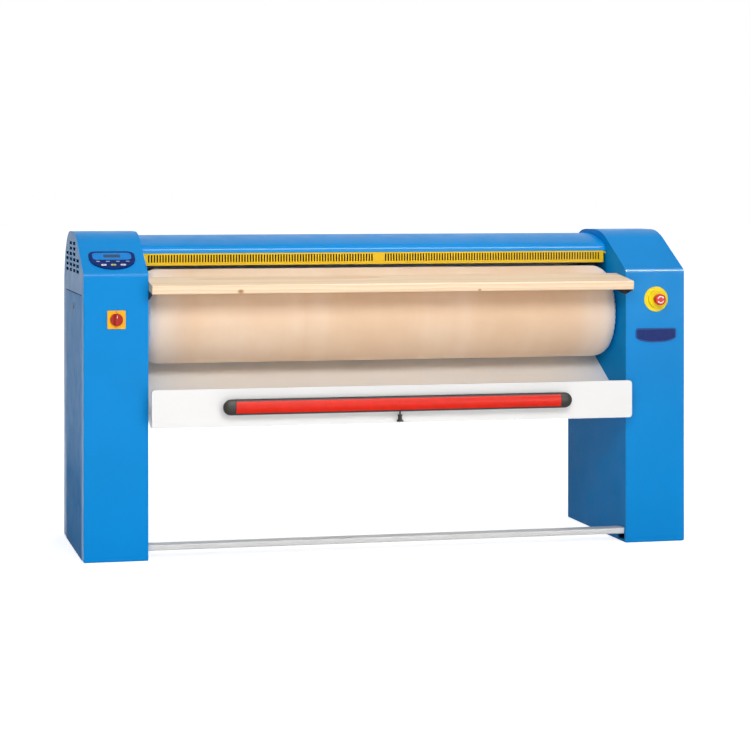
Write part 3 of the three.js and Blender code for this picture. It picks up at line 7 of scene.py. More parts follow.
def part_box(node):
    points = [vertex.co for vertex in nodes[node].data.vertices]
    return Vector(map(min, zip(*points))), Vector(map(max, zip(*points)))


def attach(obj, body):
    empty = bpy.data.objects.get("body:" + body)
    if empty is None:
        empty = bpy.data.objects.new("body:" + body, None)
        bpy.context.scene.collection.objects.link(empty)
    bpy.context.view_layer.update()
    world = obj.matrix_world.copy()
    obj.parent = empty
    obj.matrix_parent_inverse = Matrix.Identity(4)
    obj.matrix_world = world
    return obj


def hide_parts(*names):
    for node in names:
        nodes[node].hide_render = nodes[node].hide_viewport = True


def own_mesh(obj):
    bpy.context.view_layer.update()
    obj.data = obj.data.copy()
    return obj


# Flatwork ironer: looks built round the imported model. Metres, X along the roller, Z up.
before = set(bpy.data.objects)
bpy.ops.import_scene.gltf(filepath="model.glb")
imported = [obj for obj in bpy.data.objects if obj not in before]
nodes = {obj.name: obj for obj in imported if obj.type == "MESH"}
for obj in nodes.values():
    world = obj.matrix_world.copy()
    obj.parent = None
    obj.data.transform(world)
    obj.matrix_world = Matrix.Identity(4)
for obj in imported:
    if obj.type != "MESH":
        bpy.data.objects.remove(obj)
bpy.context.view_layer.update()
print("frame loaded:", len(nodes), "nodes")

scene = bpy.context.scene
scene.view_settings.view_transform = "Standard"

# Places that several pieces share, as in the model
place = {
    "frontFace": -0.2765,
    "rearFace": 0.3835,
    "innerFace": 0.855,
    "outerFace": 1.075,
    "foldHeight": 0.972,
    "slopeAngle": math.radians(27.2),
    "rollerY": -0.0505,
    "rollerZ": 0.817,
}

# Small distances that many pieces share
tiny = {
    "merge": 0.000001,    # doubles in a new piece
    "weld": 0.00001,      # corners shared by the model's own triangles
    "lift": 0.00005,      # a print, a rim or a screw stands this far off its face
    "span": 0.001,        # an edge that covers more of X than this runs lengthwise
}

# Camera at the photograph's angle
camera = {
    "place": (-1.9008, -8.0079, 1.2740),
    "turn": 13.359,      # degrees to the right of straight ahead
    "lens": 109.8,
    "sensor": 36.0,
    "shiftUp": -0.2526,
}
lens = bpy.data.cameras.new("camera")
lens.lens = camera["lens"]
lens.sensor_width = camera["sensor"]
lens.shift_y = camera["shiftUp"]
viewer = bpy.data.objects.new("camera", lens)
viewer.location = camera["place"]
viewer.rotation_euler = (math.radians(90), 0, -math.radians(camera["turn"]))
scene.collection.objects.link(viewer)
scene.camera = viewer


# Screen values 0 to 255 as the linear colour a shader takes
def paint(red, green, blue):
    def linear(level):
        level = level / 255
        return level / 12.92 if level <= 0.04045 else ((level + 0.055) / 1.055) ** 2.4
    return (linear(red), linear(green), linear(blue), 1)


def addNode(tree, kind, **settings):
    node = tree.nodes.new(kind)
    for key, value in settings.items():
        setattr(node, key, value)
    return node


# A principled material with its plain values on the shader's own sockets
def startMaterial(name, values):
    material = bpy.data.materials.new(name)
    material.use_nodes = True
    tree = material.node_tree
    shader = tree.nodes["Principled BSDF"]
    for key, value in values.items():
        shader.inputs[key].default_value = value
    return material, tree, shader


def objectPoint(tree, scale=(1, 1, 1), shift=(0, 0, 0), turn=(0, 0, 0)):
    point = addNode(tree, "ShaderNodeTexCoord")
    mapping = addNode(tree, "ShaderNodeMapping")
    mapping.inputs["Scale"].default_value = scale
    mapping.inputs["Location"].default_value = shift
    mapping.inputs["Rotation"].default_value = turn
    tree.links.new(point.outputs["Object"], mapping.inputs["Vector"])
    return mapping.outputs["Vector"]


def noiseAt(tree, vector, scale, detail=2.0, rough=0.5, twist=0.0):
    node = addNode(tree, "ShaderNodeTexNoise")
    node.inputs["Scale"].default_value = scale
    node.inputs["Detail"].default_value = detail
    node.inputs["Roughness"].default_value = rough
    node.inputs["Distortion"].default_value = twist
    tree.links.new(vector, node.inputs["Vector"])
    return node.outputs["Fac"]


def spread(tree, value, low, high, fromLow=0.3, fromHigh=0.7):
    node = addNode(tree, "ShaderNodeMapRange")
    node.inputs["From Min"].default_value = fromLow
    node.inputs["From Max"].default_value = fromHigh
    node.inputs["To Min"].default_value = low
    node.inputs["To Max"].default_value = high
    tree.links.new(value, node.inputs["Value"])
    return node.outputs["Result"]


def ramp(tree, value, stops):
    node = addNode(tree, "ShaderNodeValToRGB")
    band = node.color_ramp
    while len(band.elements) < len(stops):
        band.elements.new(0.5)
    for element, (position, colour) in zip(band.elements, stops):
        element.position = position
        element.color = colour
    tree.links.new(value, node.inputs["Fac"])
    return node.outputs["Color"]


# A number goes on the socket, anything else is linked to it
def feed(tree, socket, value):
    if isinstance(value, (int, float, tuple)):
        socket.default_value = value
    else:
        tree.links.new(value, socket)


def math2(tree, kind, *values):
    node = addNode(tree, "ShaderNodeMath", operation=kind)
    for socket, value in zip(node.inputs, values):
        feed(tree, socket, value)
    return node.outputs["Value"]


def mixColour(tree, factor, first, second):
    node = addNode(tree, "ShaderNodeMix", data_type="RGBA")
    for socket, value in ((0, factor), (6, first), (7, second)):
        feed(tree, node.inputs[socket], value)
    return node.outputs[2]


def axesOf(tree, vector):
    node = addNode(tree, "ShaderNodeSeparateXYZ")
    tree.links.new(vector, node.inputs[0])
    return node.outputs


def lengthOf(tree, vector):
    node = addNode(tree, "ShaderNodeVectorMath", operation="LENGTH")
    tree.links.new(vector, node.inputs[0])
    return node.outputs["Value"]


def bumpFrom(tree, shader, height, strength, distance):
    node = addNode(tree, "ShaderNodeBump")
    node.inputs["Strength"].default_value = strength
    node.inputs["Distance"].default_value = distance
    tree.links.new(height, node.inputs["Height"])
    tree.links.new(node.outputs["Normal"], shader.inputs["Normal"])


def tinted(colour, share):
    return tuple(min(1, level * share) for level in colour[:3]) + (1,)


def colourAndGloss(tree, shader, colour, gloss):
    tree.links.new(colour, shader.inputs["Base Color"])
    tree.links.new(gloss, shader.inputs["Roughness"])


# Powder coat: even colour with a little drift, fine orange peel, gloss that varies softly
def paintedMetal(name, colour, roughness, specular, peel=0.05, drift=0.04, vary=0.045):
    coat = {"driftScale": 2.2, "glossScale": 14, "peelScale": 420, "peelHeight": 0.0004}
    values = {"Base Color": colour, "Specular IOR Level": specular}
    material, tree, shader = startMaterial(name, values)
    vector = objectPoint(tree)
    tones = ((0.35, tinted(colour, 1 - drift)), (0.65, tinted(colour, 1 + drift)))
    drifted = ramp(tree, noiseAt(tree, vector, coat["driftScale"], 3), tones)
    patches = noiseAt(tree, vector, coat["glossScale"], 3)
    gloss = spread(tree, patches, roughness - vary, roughness + vary)
    colourAndGloss(tree, shader, drifted, gloss)
    bumpFrom(tree, shader, noiseAt(tree, vector, coat["peelScale"], 2), peel, coat["peelHeight"])
    return material


# Plated or ground steel: streaks along one axis in colour, gloss and height
def bareMetal(name, colour, roughness, along, metallic=1.0):
    streak = {"scale": 12, "darker": 0.86, "lighter": 1.08, "strength": 0.08, "height": 0.0003}
    values = {"Base Color": colour, "Metallic": metallic, "Specular IOR Level": 0.5}
    material, tree, shader = startMaterial(name, values)
    streaks = noiseAt(tree, objectPoint(tree, along), streak["scale"], 4, 0.6)
    tones = ((0.3, tinted(colour, streak["darker"])), (0.7, tinted(colour, streak["lighter"])))
    gloss = spread(tree, streaks, roughness - 0.07, roughness + 0.08)
    colourAndGloss(tree, shader, ramp(tree, streaks, tones), gloss)
    bumpFrom(tree, shader, streaks, streak["strength"], streak["height"])
    return material


# Moulded plastic or rubber: fine grain, slightly uneven gloss and colour
def moulded(name, colour, roughness, specular=0.4, grain=0.06, grainScale=900):
    skin = {"toneScale": 35, "tone": 0.05, "glossScale": 60, "grainHeight": 0.0003}
    values = {"Base Color": colour, "Specular IOR Level": specular}
    material, tree, shader = startMaterial(name, values)
    vector = objectPoint(tree)
    tones = ((0.35, tinted(colour, 1 - skin["tone"])), (0.65, tinted(colour, 1 + skin["tone"])))
    toned = ramp(tree, noiseAt(tree, vector, skin["toneScale"], 2), tones)
    patches = noiseAt(tree, vector, skin["glossScale"], 3)
    gloss = spread(tree, patches, roughness - 0.05, roughness + 0.06)
    colourAndGloss(tree, shader, toned, gloss)
    bumpFrom(tree, shader, noiseAt(tree, vector, grainScale, 2), grain, skin["grainHeight"])
    return material


# Gloss that dies away towards the floor, where the paint is scuffed
def fadeGloss(material, low, high, lowHeight, highHeight):
    tree = material.node_tree
    gloss = spread(tree, axesOf(tree, objectPoint(tree))["Z"], low, high, lowHeight, highHeight)
    tree.links.new(gloss, tree.nodes["Principled BSDF"].inputs["Specular IOR Level"])


# Colours of the finishes
finish = {
    "blue": paint(3, 134, 207),
    "white": paint(229, 228, 227),
    # The tray's white made brighter for the sheet: painted light that lifts the shade under the
    # roller
    "sheetLitWhite": paint(249, 247, 243),
    "guardYellow": paint(222, 182, 20),
    "barGrey": paint(212, 211, 210),
    "switchYellow": paint(250, 176, 24),
    "discYellow": paint(240, 214, 30),
    "knobRed": paint(168, 34, 16),
    "headRed": paint(206, 42, 34),
    "stripRed": paint(214, 35, 15),
    "navy": paint(4, 34, 104),
    "film": paint(26, 128, 208),
    "lens": paint(10, 60, 98),
    "keyWhite": paint(206, 216, 224),
    "keyGreen": paint(168, 192, 84),
    "rimBlue": paint(52, 112, 196),
    "bracketGrey": paint(50, 47, 50),
    "boxGrey": paint(190, 193, 196),
    "sleeveGrey": paint(208, 208, 208),
    "castGrey": paint(78, 84, 90),
    "zinc": paint(190, 194, 198),
    "steel": paint(96, 100, 106),
    "aluminium": paint(222, 223, 226),
    "plasticBlack": paint(22, 22, 24),
    "rubberBlack": paint(40, 38, 33),
    "gasketAndShadeBlack": paint(14, 15, 18),
    "printWhite": paint(232, 234, 236),
    "printBlack": paint(26, 26, 28),
}

# The smooth powder coat of thin lips, where peel would break up the highlight
lipCoat = {"peel": 0.005, "drift": 0.01, "vary": 0.01}
# The side panels' gloss at the floor and higher up, and the heights it changes between
sideFade = {"low": 0.004, "high": 0.06, "lowHeight": 0.25, "highHeight": 0.85}

bluePaint = paintedMetal("bluePaint", finish["blue"], 0.32, 0.05)
sidePaint = paintedMetal("sidePaint", finish["blue"], 0.42, 0.05)
fadeGloss(sidePaint, **sideFade)
wallPaint = paintedMetal("wallPaint", finish["blue"], 0.42, 0.02)
lipPaint = paintedMetal("lipPaint", finish["blue"], 0.18, 0.9, **lipCoat)
softLip = paintedMetal("softLip", finish["blue"], 0.3, 0.16, **lipCoat)
beadPaint = paintedMetal("beadPaint", finish["blue"], 0.22, 0.5, **lipCoat)
whitePaint = paintedMetal("whitePaint", finish["white"], 0.34, 0.2, 0.006, 0.003, 0.02)
# A brighter copy of the tray's white for the sheet: painted light that lifts it out of the roller's
# shade
sheetLitPaint = paintedMetal("sheetLitPaint", finish["sheetLitWhite"], 0.42, 0.7, 0.004, 0.002, 0.01)
guardPaint = paintedMetal("guardPaint", finish["guardYellow"], 0.42, 0.1)
barPaint = paintedMetal("barPaint", finish["barGrey"], 0.38, 0.2, 0.02, 0.02)
bracketPaint = paintedMetal("bracketPaint", finish["bracketGrey"], 0.5, 0.12)
zincPlate = bareMetal("zincPlate", finish["zinc"], 0.34, (4, 40, 40))
darkSteel = bareMetal("darkSteel", finish["steel"], 0.48, (6, 30, 30), 0.9)
aluminiumPlate = bareMetal("aluminiumPlate", finish["aluminium"], 0.2, (1.5, 90, 90))
castHousing = moulded("castHousing", finish["castGrey"], 0.62, 0.35, 0.35, 240)
blackPlastic = moulded("blackPlastic", finish["plasticBlack"], 0.38, 0.3)
blackRubber = moulded("blackRubber", finish["rubberBlack"], 0.46, 0.25, 0.12, 600)
# Dull black for the real seam gasket, and painted shade for the strip behind the guard's slots
gasketAndShadeRubber = moulded("gasketAndShadeRubber", finish["gasketAndShadeBlack"], 0.9, 0.0)
redRubber = moulded("redRubber", finish["stripRed"], 0.32, 0.12, 0.05, 300)
redPlastic = moulded("redPlastic", finish["knobRed"], 0.32, 0.12)
headPlastic = moulded("headPlastic", finish["headRed"], 0.3, 0.1)
switchPlastic = moulded("switchPlastic", finish["switchYellow"], 0.34, 0.08)
discPlastic = moulded("discPlastic", finish["discYellow"], 0.36, 0.06)
lensPlastic = moulded("lensPlastic", finish["lens"], 0.12, 0.2, 0.01, 200)
keyWhite = moulded("keyWhite", finish["keyWhite"], 0.36)
keyGreen = moulded("keyGreen", finish["keyGreen"], 0.36)
boxPlastic = moulded("boxPlastic", finish["boxGrey"], 0.44)
railPlastic = moulded("railPlastic", finish["sleeveGrey"], 0.4, 0.2)
badgeFilm = moulded("badgeFilm", finish["navy"], 0.3, 0.06, 0.02, 300)
badgeEdge = moulded("badgeEdge", finish["rimBlue"], 0.3, 0.1, 0.02, 300)
printWhite = moulded("printWhite", finish["printWhite"], 0.4, 0.2, 0.02, 500)
printBlack = moulded("printBlack", finish["printBlack"], 0.4, 0.2, 0.02, 500)


# Planed softwood: rings about an axis far below, stretched along the board, with two small knots
def pineWood():
    look = {
        "pale": paint(240, 217, 187), "warm": paint(232, 201, 166), "late": paint(220, 182, 141),
        "knot": paint(168, 112, 66),
        "ringPitch": 0.0125, "ringWobble": 0.03, "toAxis": (0, 0.19, -0.62),
        "fibre": (2.5, 160, 160), "fibreShare": 0.35,
        "knots": ((-0.5525, -0.3650, 0.9150, 0.0125), (0.2887, -0.3650, 0.9114, 0.0080)),
        "knotFlat": 1.5, "knotWobble": 0.004,
    }
    values = {"Specular IOR Level": 0.3, "Coat Weight": 0.08, "Coat Roughness": 0.35}
    material, tree, shader = startMaterial("pineWood", values)
    bend = noiseAt(tree, objectPoint(tree, (0.22, 1, 1)), 5, 3, 0.5, 0.4)
    point = axesOf(tree, objectPoint(tree, shift=look["toAxis"]))
    up = math2(tree, "MULTIPLY", point["Z"], point["Z"])
    square = math2(tree, "MULTIPLY_ADD", point["Y"], point["Y"], up)
    wobble = math2(tree, "MULTIPLY_ADD", bend, look["ringWobble"], math2(tree, "SQRT", square))
    rings = math2(tree, "FRACT", math2(tree, "DIVIDE", wobble, look["ringPitch"]))
    bands = ((0.0, look["pale"]), (0.62, look["warm"]), (0.9, look["late"]), (1.0, look["pale"]))
    fibre = noiseAt(tree, objectPoint(tree, look["fibre"]), 3, 4, 0.65)
    hairs = ramp(tree, fibre, ((0.3, look["warm"]), (0.7, look["pale"])))
    colour = mixColour(tree, look["fibreShare"], ramp(tree, rings, bands), hairs)
    flat = look["knotFlat"]
    for x, y, z, size in look["knots"]:
        near = lengthOf(tree, objectPoint(tree, (1, 1, flat), (-x, -y, -z * flat)))
        ringed = math2(tree, "MULTIPLY_ADD", bend, look["knotWobble"], near)
        mask = spread(tree, ringed, 1, 0, size * 0.55, size * 1.25)
        colour = mixColour(tree, mask, colour, look["knot"])
    colourAndGloss(tree, shader, colour, spread(tree, fibre, 0.5, 0.64))
    bumpFrom(tree, shader, fibre, 0.12, 0.0004)
    return material


# The roller's outer cloth: close plain weave, faint bands of its winding and soft stains of use
def wrapCloth():
    look = {
        "thread": paint(229, 198, 167), "pale": paint(237, 212, 187), "shade": paint(222, 188, 154),
        "end": (0.70, 0.86), "endWander": 0.03, "endToneAndLift": paint(232, 216, 204),
        "brim": (0.850, 0.862), "brimHighlight": paint(248, 245, 242),
        "bandShare": 0.32, "fuzzScale": 900, "threads": 240, "weaveHeight": 0.0006,
    }
    values = {
        "Roughness": 0.88, "Specular IOR Level": 0.15, "Sheen Weight": 0.2, "Sheen Roughness": 0.5,
    }
    material, tree, shader = startMaterial("wrapCloth", values)
    vector = objectPoint(tree)
    bands = noiseAt(tree, objectPoint(tree, (7, 0.4, 0.4)), 1.6, 3, 0.5)
    soft = noiseAt(tree, vector, 3.5, 3, 0.5)
    stains = math2(tree, "MULTIPLY", soft, 1 - look["bandShare"])
    tone = math2(tree, "MULTIPLY_ADD", bands, look["bandShare"], stains)
    colour = ramp(tree, tone, ((0.30, look["shade"]), (0.5, look["thread"]), (0.72, look["pale"])))
    fuzz = noiseAt(tree, vector, look["fuzzScale"], 3, 0.7)
    colour = mixColour(tree, spread(tree, fuzz, 0.0, 0.16), colour, look["pale"])
    # Paler, greyer ends: partly the cloth's own tone, partly painted light that lifts the shade
    # where the round ends turn away
    outward = math2(tree, "ABSOLUTE", axesOf(tree, vector)["X"])
    along = math2(tree, "MULTIPLY_ADD", bands, look["endWander"], outward)
    ends = spread(tree, along, 0, 0.8, *look["end"])
    colour = mixColour(tree, ends, colour, look["endToneAndLift"])
    # The brim is a painted highlight along the cloth's last few millimetres at each end
    brim = spread(tree, along, 0, 0.9, *look["brim"])
    colour = mixColour(tree, brim, colour, look["brimHighlight"])
    tree.links.new(colour, shader.inputs["Base Color"])
    weave = addNode(tree, "ShaderNodeTexWave", wave_type="BANDS", bands_direction="X")
    weave.inputs["Scale"].default_value = look["threads"]
    weave.inputs["Distortion"].default_value = 1.5
    tree.links.new(vector, weave.inputs["Vector"])
    ribs = math2(tree, "MULTIPLY", weave.outputs["Fac"], 0.4)
    height = math2(tree, "MULTIPLY_ADD", fuzz, 0.6, ribs)
    bumpFrom(tree, shader, height, 0.25, look["weaveHeight"])
    return material


# Printed film on the control panel: navy border, a blue field round the window, plain marks
def controlFilm():
    look = {
        "border": finish["navy"], "field": finish["film"], "mark": paint(176, 198, 222),
        # X along the machine, Up along the slope from the fold
        "fieldX": -0.967, "fieldUp": 0.1225, "fieldHalf": (0.0665, 0.0245), "fieldRound": 0.015,
        "marks": (-1.018, -0.984, -0.950, -0.916), "markUp": 0.0865,
        "markHalf": (0.0062, 0.0022), "markRound": 0.0018, "printBlur": 0.0003,
    }
    material, tree, shader = startMaterial("controlFilm", {"Specular IOR Level": 0.04})
    turn = Matrix.Rotation(-place["slopeAngle"], 3, "X")
    start = turn @ Vector((0, place["frontFace"], place["foldHeight"]))
    flat = objectPoint(tree, (1, 1, 1), tuple(-start), (-place["slopeAngle"], 0, 0))
    axes = axesOf(tree, flat)

    def beyond(value, middle, half):
        reach = math2(tree, "ABSOLUTE", math2(tree, "SUBTRACT", value, middle))
        return math2(tree, "MAXIMUM", math2(tree, "SUBTRACT", reach, half), 0)

    def roundedBox(x, up, halfX, halfUp, corner):
        across = beyond(axes["X"], x, halfX - corner)
        along = beyond(axes["Y"], up, halfUp - corner)
        square = math2(tree, "MULTIPLY_ADD", across, across, math2(tree, "MULTIPLY", along, along))
        blur = look["printBlur"]
        return spread(tree, math2(tree, "SQRT", square), 1, 0, corner - blur, corner + blur)

    grain = noiseAt(tree, objectPoint(tree), 40, 2)
    tones = ((0.35, tinted(look["border"], 0.94)), (0.65, tinted(look["border"], 1.06)))
    base = ramp(tree, grain, tones)
    field = roundedBox(look["fieldX"], look["fieldUp"], *look["fieldHalf"], look["fieldRound"])
    colour = mixColour(tree, field, base, look["field"])
    for x in look["marks"]:
        mark = roundedBox(x, look["markUp"], *look["markHalf"], look["markRound"])
        colour = mixColour(tree, mark, colour, look["mark"])
    colourAndGloss(tree, shader, colour, spread(tree, grain, 0.24, 0.32))
    return material


rollerWrap = wrapCloth()
boardWood = pineWood()
panelFilm = controlFilm()
dress = {
    bluePaint: (
        "front_panel_left", "front_panel_right", "rear_panel_left", "rear_panel_right",
        "top_cover_left", "top_cover_right", "hood", "rear_cover",
    ),
    sidePaint: ("service_panel_left", "service_panel_right", "base_pan_left", "base_pan_right"),
    wallPaint: ("side_frame_left", "side_frame_right"),
    whitePaint: ("tray_fascia",),
    sheetLitPaint: ("tray_sheet",),
    guardPaint: ("finger_guard",),
    barPaint: ("pedal_bar",),
    bracketPaint: ("board_bracket_left", "board_bracket_right"),
    zincPlate: ("drive_chain", "pedal_spring", "press_rod", "chest_cover"),
    darkSteel: (
        "rear_beam", "roller_drum", "roller_sprocket", "motor_sprocket", "heating_element",
        "press_actuator", "pedal_arm_left", "pedal_arm_right", "chest_yoke", "panel_lock_left",
        "panel_lock_right",
    ),
    castHousing: ("roller_bearing_left", "roller_bearing_right", "gearmotor"),
    aluminiumPlate: ("chest",),
    blackPlastic: ("trip_bar_holder", "plunger_knob", "cable_gland"),
    blackRubber: ("trip_bar_cap_left", "trip_bar_cap_right"),
    redRubber: ("trip_bar_insert",),
    redPlastic: ("main_switch_knob", "stop_button_stem"),
    headPlastic: ("stop_button_head",),
    switchPlastic: ("main_switch_plate",),
    discPlastic: ("stop_button_plate",),
    badgeFilm: ("badge_plate",),
    lensPlastic: ("display_window",),
    keyWhite: ("start_key", "speed_key"),
    keyGreen: ("stop_key",),
    boxPlastic: ("switchgear_box",),
    panelFilm: ("control_panel",),
    boardWood: ("feed_board",),
    rollerWrap: ("roller_padding",),
}
for material, names in dress.items():
    for name in names:
        nodes[name].data.materials.clear()
        nodes[name].data.materials.append(material)
print("model dressed:", sum(len(names) for names in dress.values()), "nodes")


# Edges of the model's own parts get the small round of folded sheet, planed wood and mouldings
def softEdges(width, segments, names, joinFlat=True):
    edge = {"flat": math.radians(0.4), "sharp": math.radians(30)}
    for name in names:
        stack = nodes[name].modifiers
        weld = stack.new("weld", "WELD")
        weld.merge_threshold = tiny["weld"]
        if joinFlat:
            flat = stack.new("flat", "DECIMATE")
            flat.decimate_type = "DISSOLVE"
            flat.angle_limit = edge["flat"]
        bevel = stack.new("bevel", "BEVEL")
        bevel.width = width
        bevel.segments = segments
        bevel.limit_method = "ANGLE"
        bevel.angle_limit = edge["sharp"]
        shade = stack.new("shade", "WEIGHTED_NORMAL")
        shade.keep_sharp = False


softEdges(0.0006, 2, (
    "front_panel_right", "base_pan_left", "base_pan_right", "hood", "rear_cover", "tray_sheet",
    "side_frame_left", "side_frame_right", "control_panel", "display_window",
))
# These keep their own triangles, because a large face with many holes fills badly
softEdges(0.0006, 2, (
    "top_cover_left", "top_cover_right", "service_panel_left", "service_panel_right",
    "rear_panel_left", "rear_panel_right", "front_panel_left",
), joinFlat=False)
softEdges(0.0004, 2, ("start_key", "stop_key", "speed_key", "badge_plate"))
softEdges(0.0015, 3, ("tray_fascia", "feed_board"))
softEdges(0.0012, 2, ("main_switch_knob", "stop_button_plate"))
softEdges(0.0012, 2, ("main_switch_plate",), joinFlat=False)
softEdges(0.0010, 2, ("plunger_knob", "trip_bar_cap_left", "trip_bar_cap_right"))
softEdges(0.0005, 2, (
    "trip_bar_holder", "board_bracket_left", "board_bracket_right", "panel_lock_left",
    "panel_lock_right", "cable_gland",
))
print("edges softened")


# A finished bmesh becomes a piece: smooth but for its sharp edges, dressed, riding on its body
def addPiece(name, shape, material, body, sharp=35):
    for face in shape.faces:
        face.smooth = True
    for edge in shape.edges:
        edge.smooth = edge.is_manifold and edge.calc_face_angle(0) < math.radians(sharp)
    mesh = bpy.data.meshes.new(name)
    shape.to_mesh(mesh)
    shape.free()
    mesh.materials.append(material)
    piece = bpy.data.objects.new(name, mesh)
    scene.collection.objects.link(piece)
    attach(piece, body)
    return piece


def closeUp(shape, gap=tiny["merge"]):
    bmesh.ops.remove_doubles(shape, verts=shape.verts, dist=gap)
    bmesh.ops.recalc_face_normals(shape, faces=shape.faces)


# The points added since the set of points was noted
def freshVerts(shape, before):
    return [vert for vert in shape.verts if vert not in before]


# The edges of a bar that run along X
def lengthwiseEdges(shape):
    return [
        edge for edge in shape.edges
        if abs(edge.verts[0].co.x - edge.verts[1].co.x) > tiny["span"]
    ]


# Corners of a rectangle that stands across X, and of one that stands across Y
def acrossX(x, y0, y1, z0, z1):
    return [(x, y0, z0), (x, y1, z0), (x, y1, z1), (x, y0, z1)]


def acrossY(y, x0, x1, z0, z1):
    return [(x0, y, z0), (x1, y, z0), (x1, y, z1), (x0, y, z1)]


# A flat face from its few corners, which pushOut turns into a bar or a plate
def outlineFace(shape, corners):
    return shape.faces.new([shape.verts.new(corner) for corner in corners])


def pushOut(shape, faces, way):
    out = bmesh.ops.extrude_face_region(shape, geom=faces)
    moved = [item for item in out["geom"] if isinstance(item, bmesh.types.BMVert)]
    bmesh.ops.translate(shape, verts=moved, vec=way)
    return [item for item in out["geom"] if isinstance(item, bmesh.types.BMFace)]


# Turned about an axis first, then set down at a spot
def setDown(spot, degrees, axis):
    return Matrix.Translation(spot) @ Matrix.Rotation(math.radians(degrees), 4, axis)


def bevelAll(shape, edges, offset, segments):
    bmesh.ops.bevel(
        shape, geom=edges, offset=offset, affect="EDGES", segments=segments,
        profile=0.5, material=-1, clamp_overlap=True,
    )


# Padded cloth on the roller: a tight sleeve with full round shoulders, gathered in at its ends
def rollerCloth():
    cloth = {
        "halfLength": 0.8505, "radius": 0.1657, "shoulderReach": 0.055, "shoulderDrop": 0.040,
        "lipRadius": 0.1190, "cavityHalf": 0.8275, "cavityRadius": 0.1501, "hem": 0.004,
        "shoulderSteps": 14, "hemSteps": 4, "rounds": 180, "cuts": 64,
        "lining": 0.004,    # what lies this near to the cavity stays plain
        "ripple": 0.0006, "rippleMost": 0.0004, "rippleAlong": 5, "rippleRound": 9,
        "fine": 22, "fineShift": 7, "fineShare": 0.35,
        "pleats": 40, "pleatDepth": 0.0024, "pleatStart": 0.160, "pleatFade": 0.035,
        "stray": 2.2, "strayScale": 40,
        "lapAngle": math.radians(35), "lapStep": 0.0010, "lapFade": math.radians(40),
    }
    # Drawn with its height stretched, so that one even round gives the long shoulder
    stretch = cloth["shoulderReach"] / cloth["shoulderDrop"]
    shape = bmesh.new()
    right, left = [
        [
            shape.verts.new((side * cloth["cavityHalf"], 0, cloth["lipRadius"] * stretch)),
            shape.verts.new((side * cloth["halfLength"], 0, cloth["lipRadius"] * stretch)),
            shape.verts.new((side * cloth["halfLength"], 0, cloth["radius"] * stretch)),
        ]
        for side in (1, -1)
    ]
    inner = [
        shape.verts.new((side * cloth["cavityHalf"], 0, cloth["cavityRadius"] * stretch))
        for side in (-1, 1)
    ]
    shape.faces.new(right + left[::-1] + inner)
    rounds = (
        ([right[1], left[1]], cloth["hem"], cloth["hemSteps"]),
        ([right[2], left[2]], cloth["shoulderReach"], cloth["shoulderSteps"]),
    )
    for verts, offset, steps in rounds:
        bmesh.ops.bevel(
            shape, geom=verts, offset=offset, affect="VERTICES", segments=steps,
            profile=0.5, material=-1,
        )
    outside = cloth["cavityRadius"] * stretch + cloth["lining"]
    longest = max(
        (edge for edge in shape.edges if edge.verts[0].co.z > outside),
        key=lambda edge: edge.calc_length(),
    )
    bmesh.ops.subdivide_edges(shape, edges=[longest], cuts=cloth["cuts"])
    bmesh.ops.delete(shape, geom=shape.faces[:], context="FACES_ONLY")
    bmesh.ops.scale(shape, vec=(1, 1, 1 / stretch), verts=shape.verts)
    bmesh.ops.spin(
        shape, geom=shape.verts[:] + shape.edges[:], cent=(0, 0, 0), axis=(1, 0, 0),
        dvec=(0, 0, 0), angle=math.tau, steps=cloth["rounds"], use_merge=True,
    )
    closeUp(shape)
    along, around, fine = cloth["rippleAlong"], cloth["rippleRound"], cloth["fine"]
    for vert in shape.verts:
        x, y, z = vert.co
        radius = math.hypot(y, z)
        angle = math.atan2(z, y)
        if radius > cloth["cavityRadius"] + cloth["lining"]:
            broad = noise.noise(Vector((x * along, y * around, z * around)))
            small = noise.noise(Vector((x * fine, y * fine, z * fine + cloth["fineShift"])))
            swell = broad * cloth["ripple"] + small * cloth["ripple"] * cloth["fineShare"]
            past = (angle - cloth["lapAngle"]) % math.tau
            lap = (max(0, 1 - past / cloth["lapFade"]) - 0.5) * cloth["lapStep"]
            grow = (radius + min(swell, cloth["rippleMost"]) + lap) / radius
            vert.co = (x, y * grow, z * grow)
        if abs(x) > cloth["cavityHalf"] + cloth["lining"] and radius < cloth["pleatStart"]:
            pull = min(1, (cloth["pleatStart"] - radius) / cloth["pleatFade"])
            spot = Vector((y * cloth["strayScale"], z * cloth["strayScale"], 0))
            wave = math.sin(angle * cloth["pleats"] + cloth["stray"] * noise.noise(spot))
            vert.co.x -= math.copysign(cloth["pleatDepth"] * pull * (0.5 + 0.5 * wave), x)
    bmesh.ops.translate(shape, verts=shape.verts, vec=(0, place["rollerY"], place["rollerZ"]))
    piece = addPiece("rollerCloth", shape, rollerWrap, "roller", 60)
    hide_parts("roller_padding")


rollerCloth()
print("roller cloth wound")


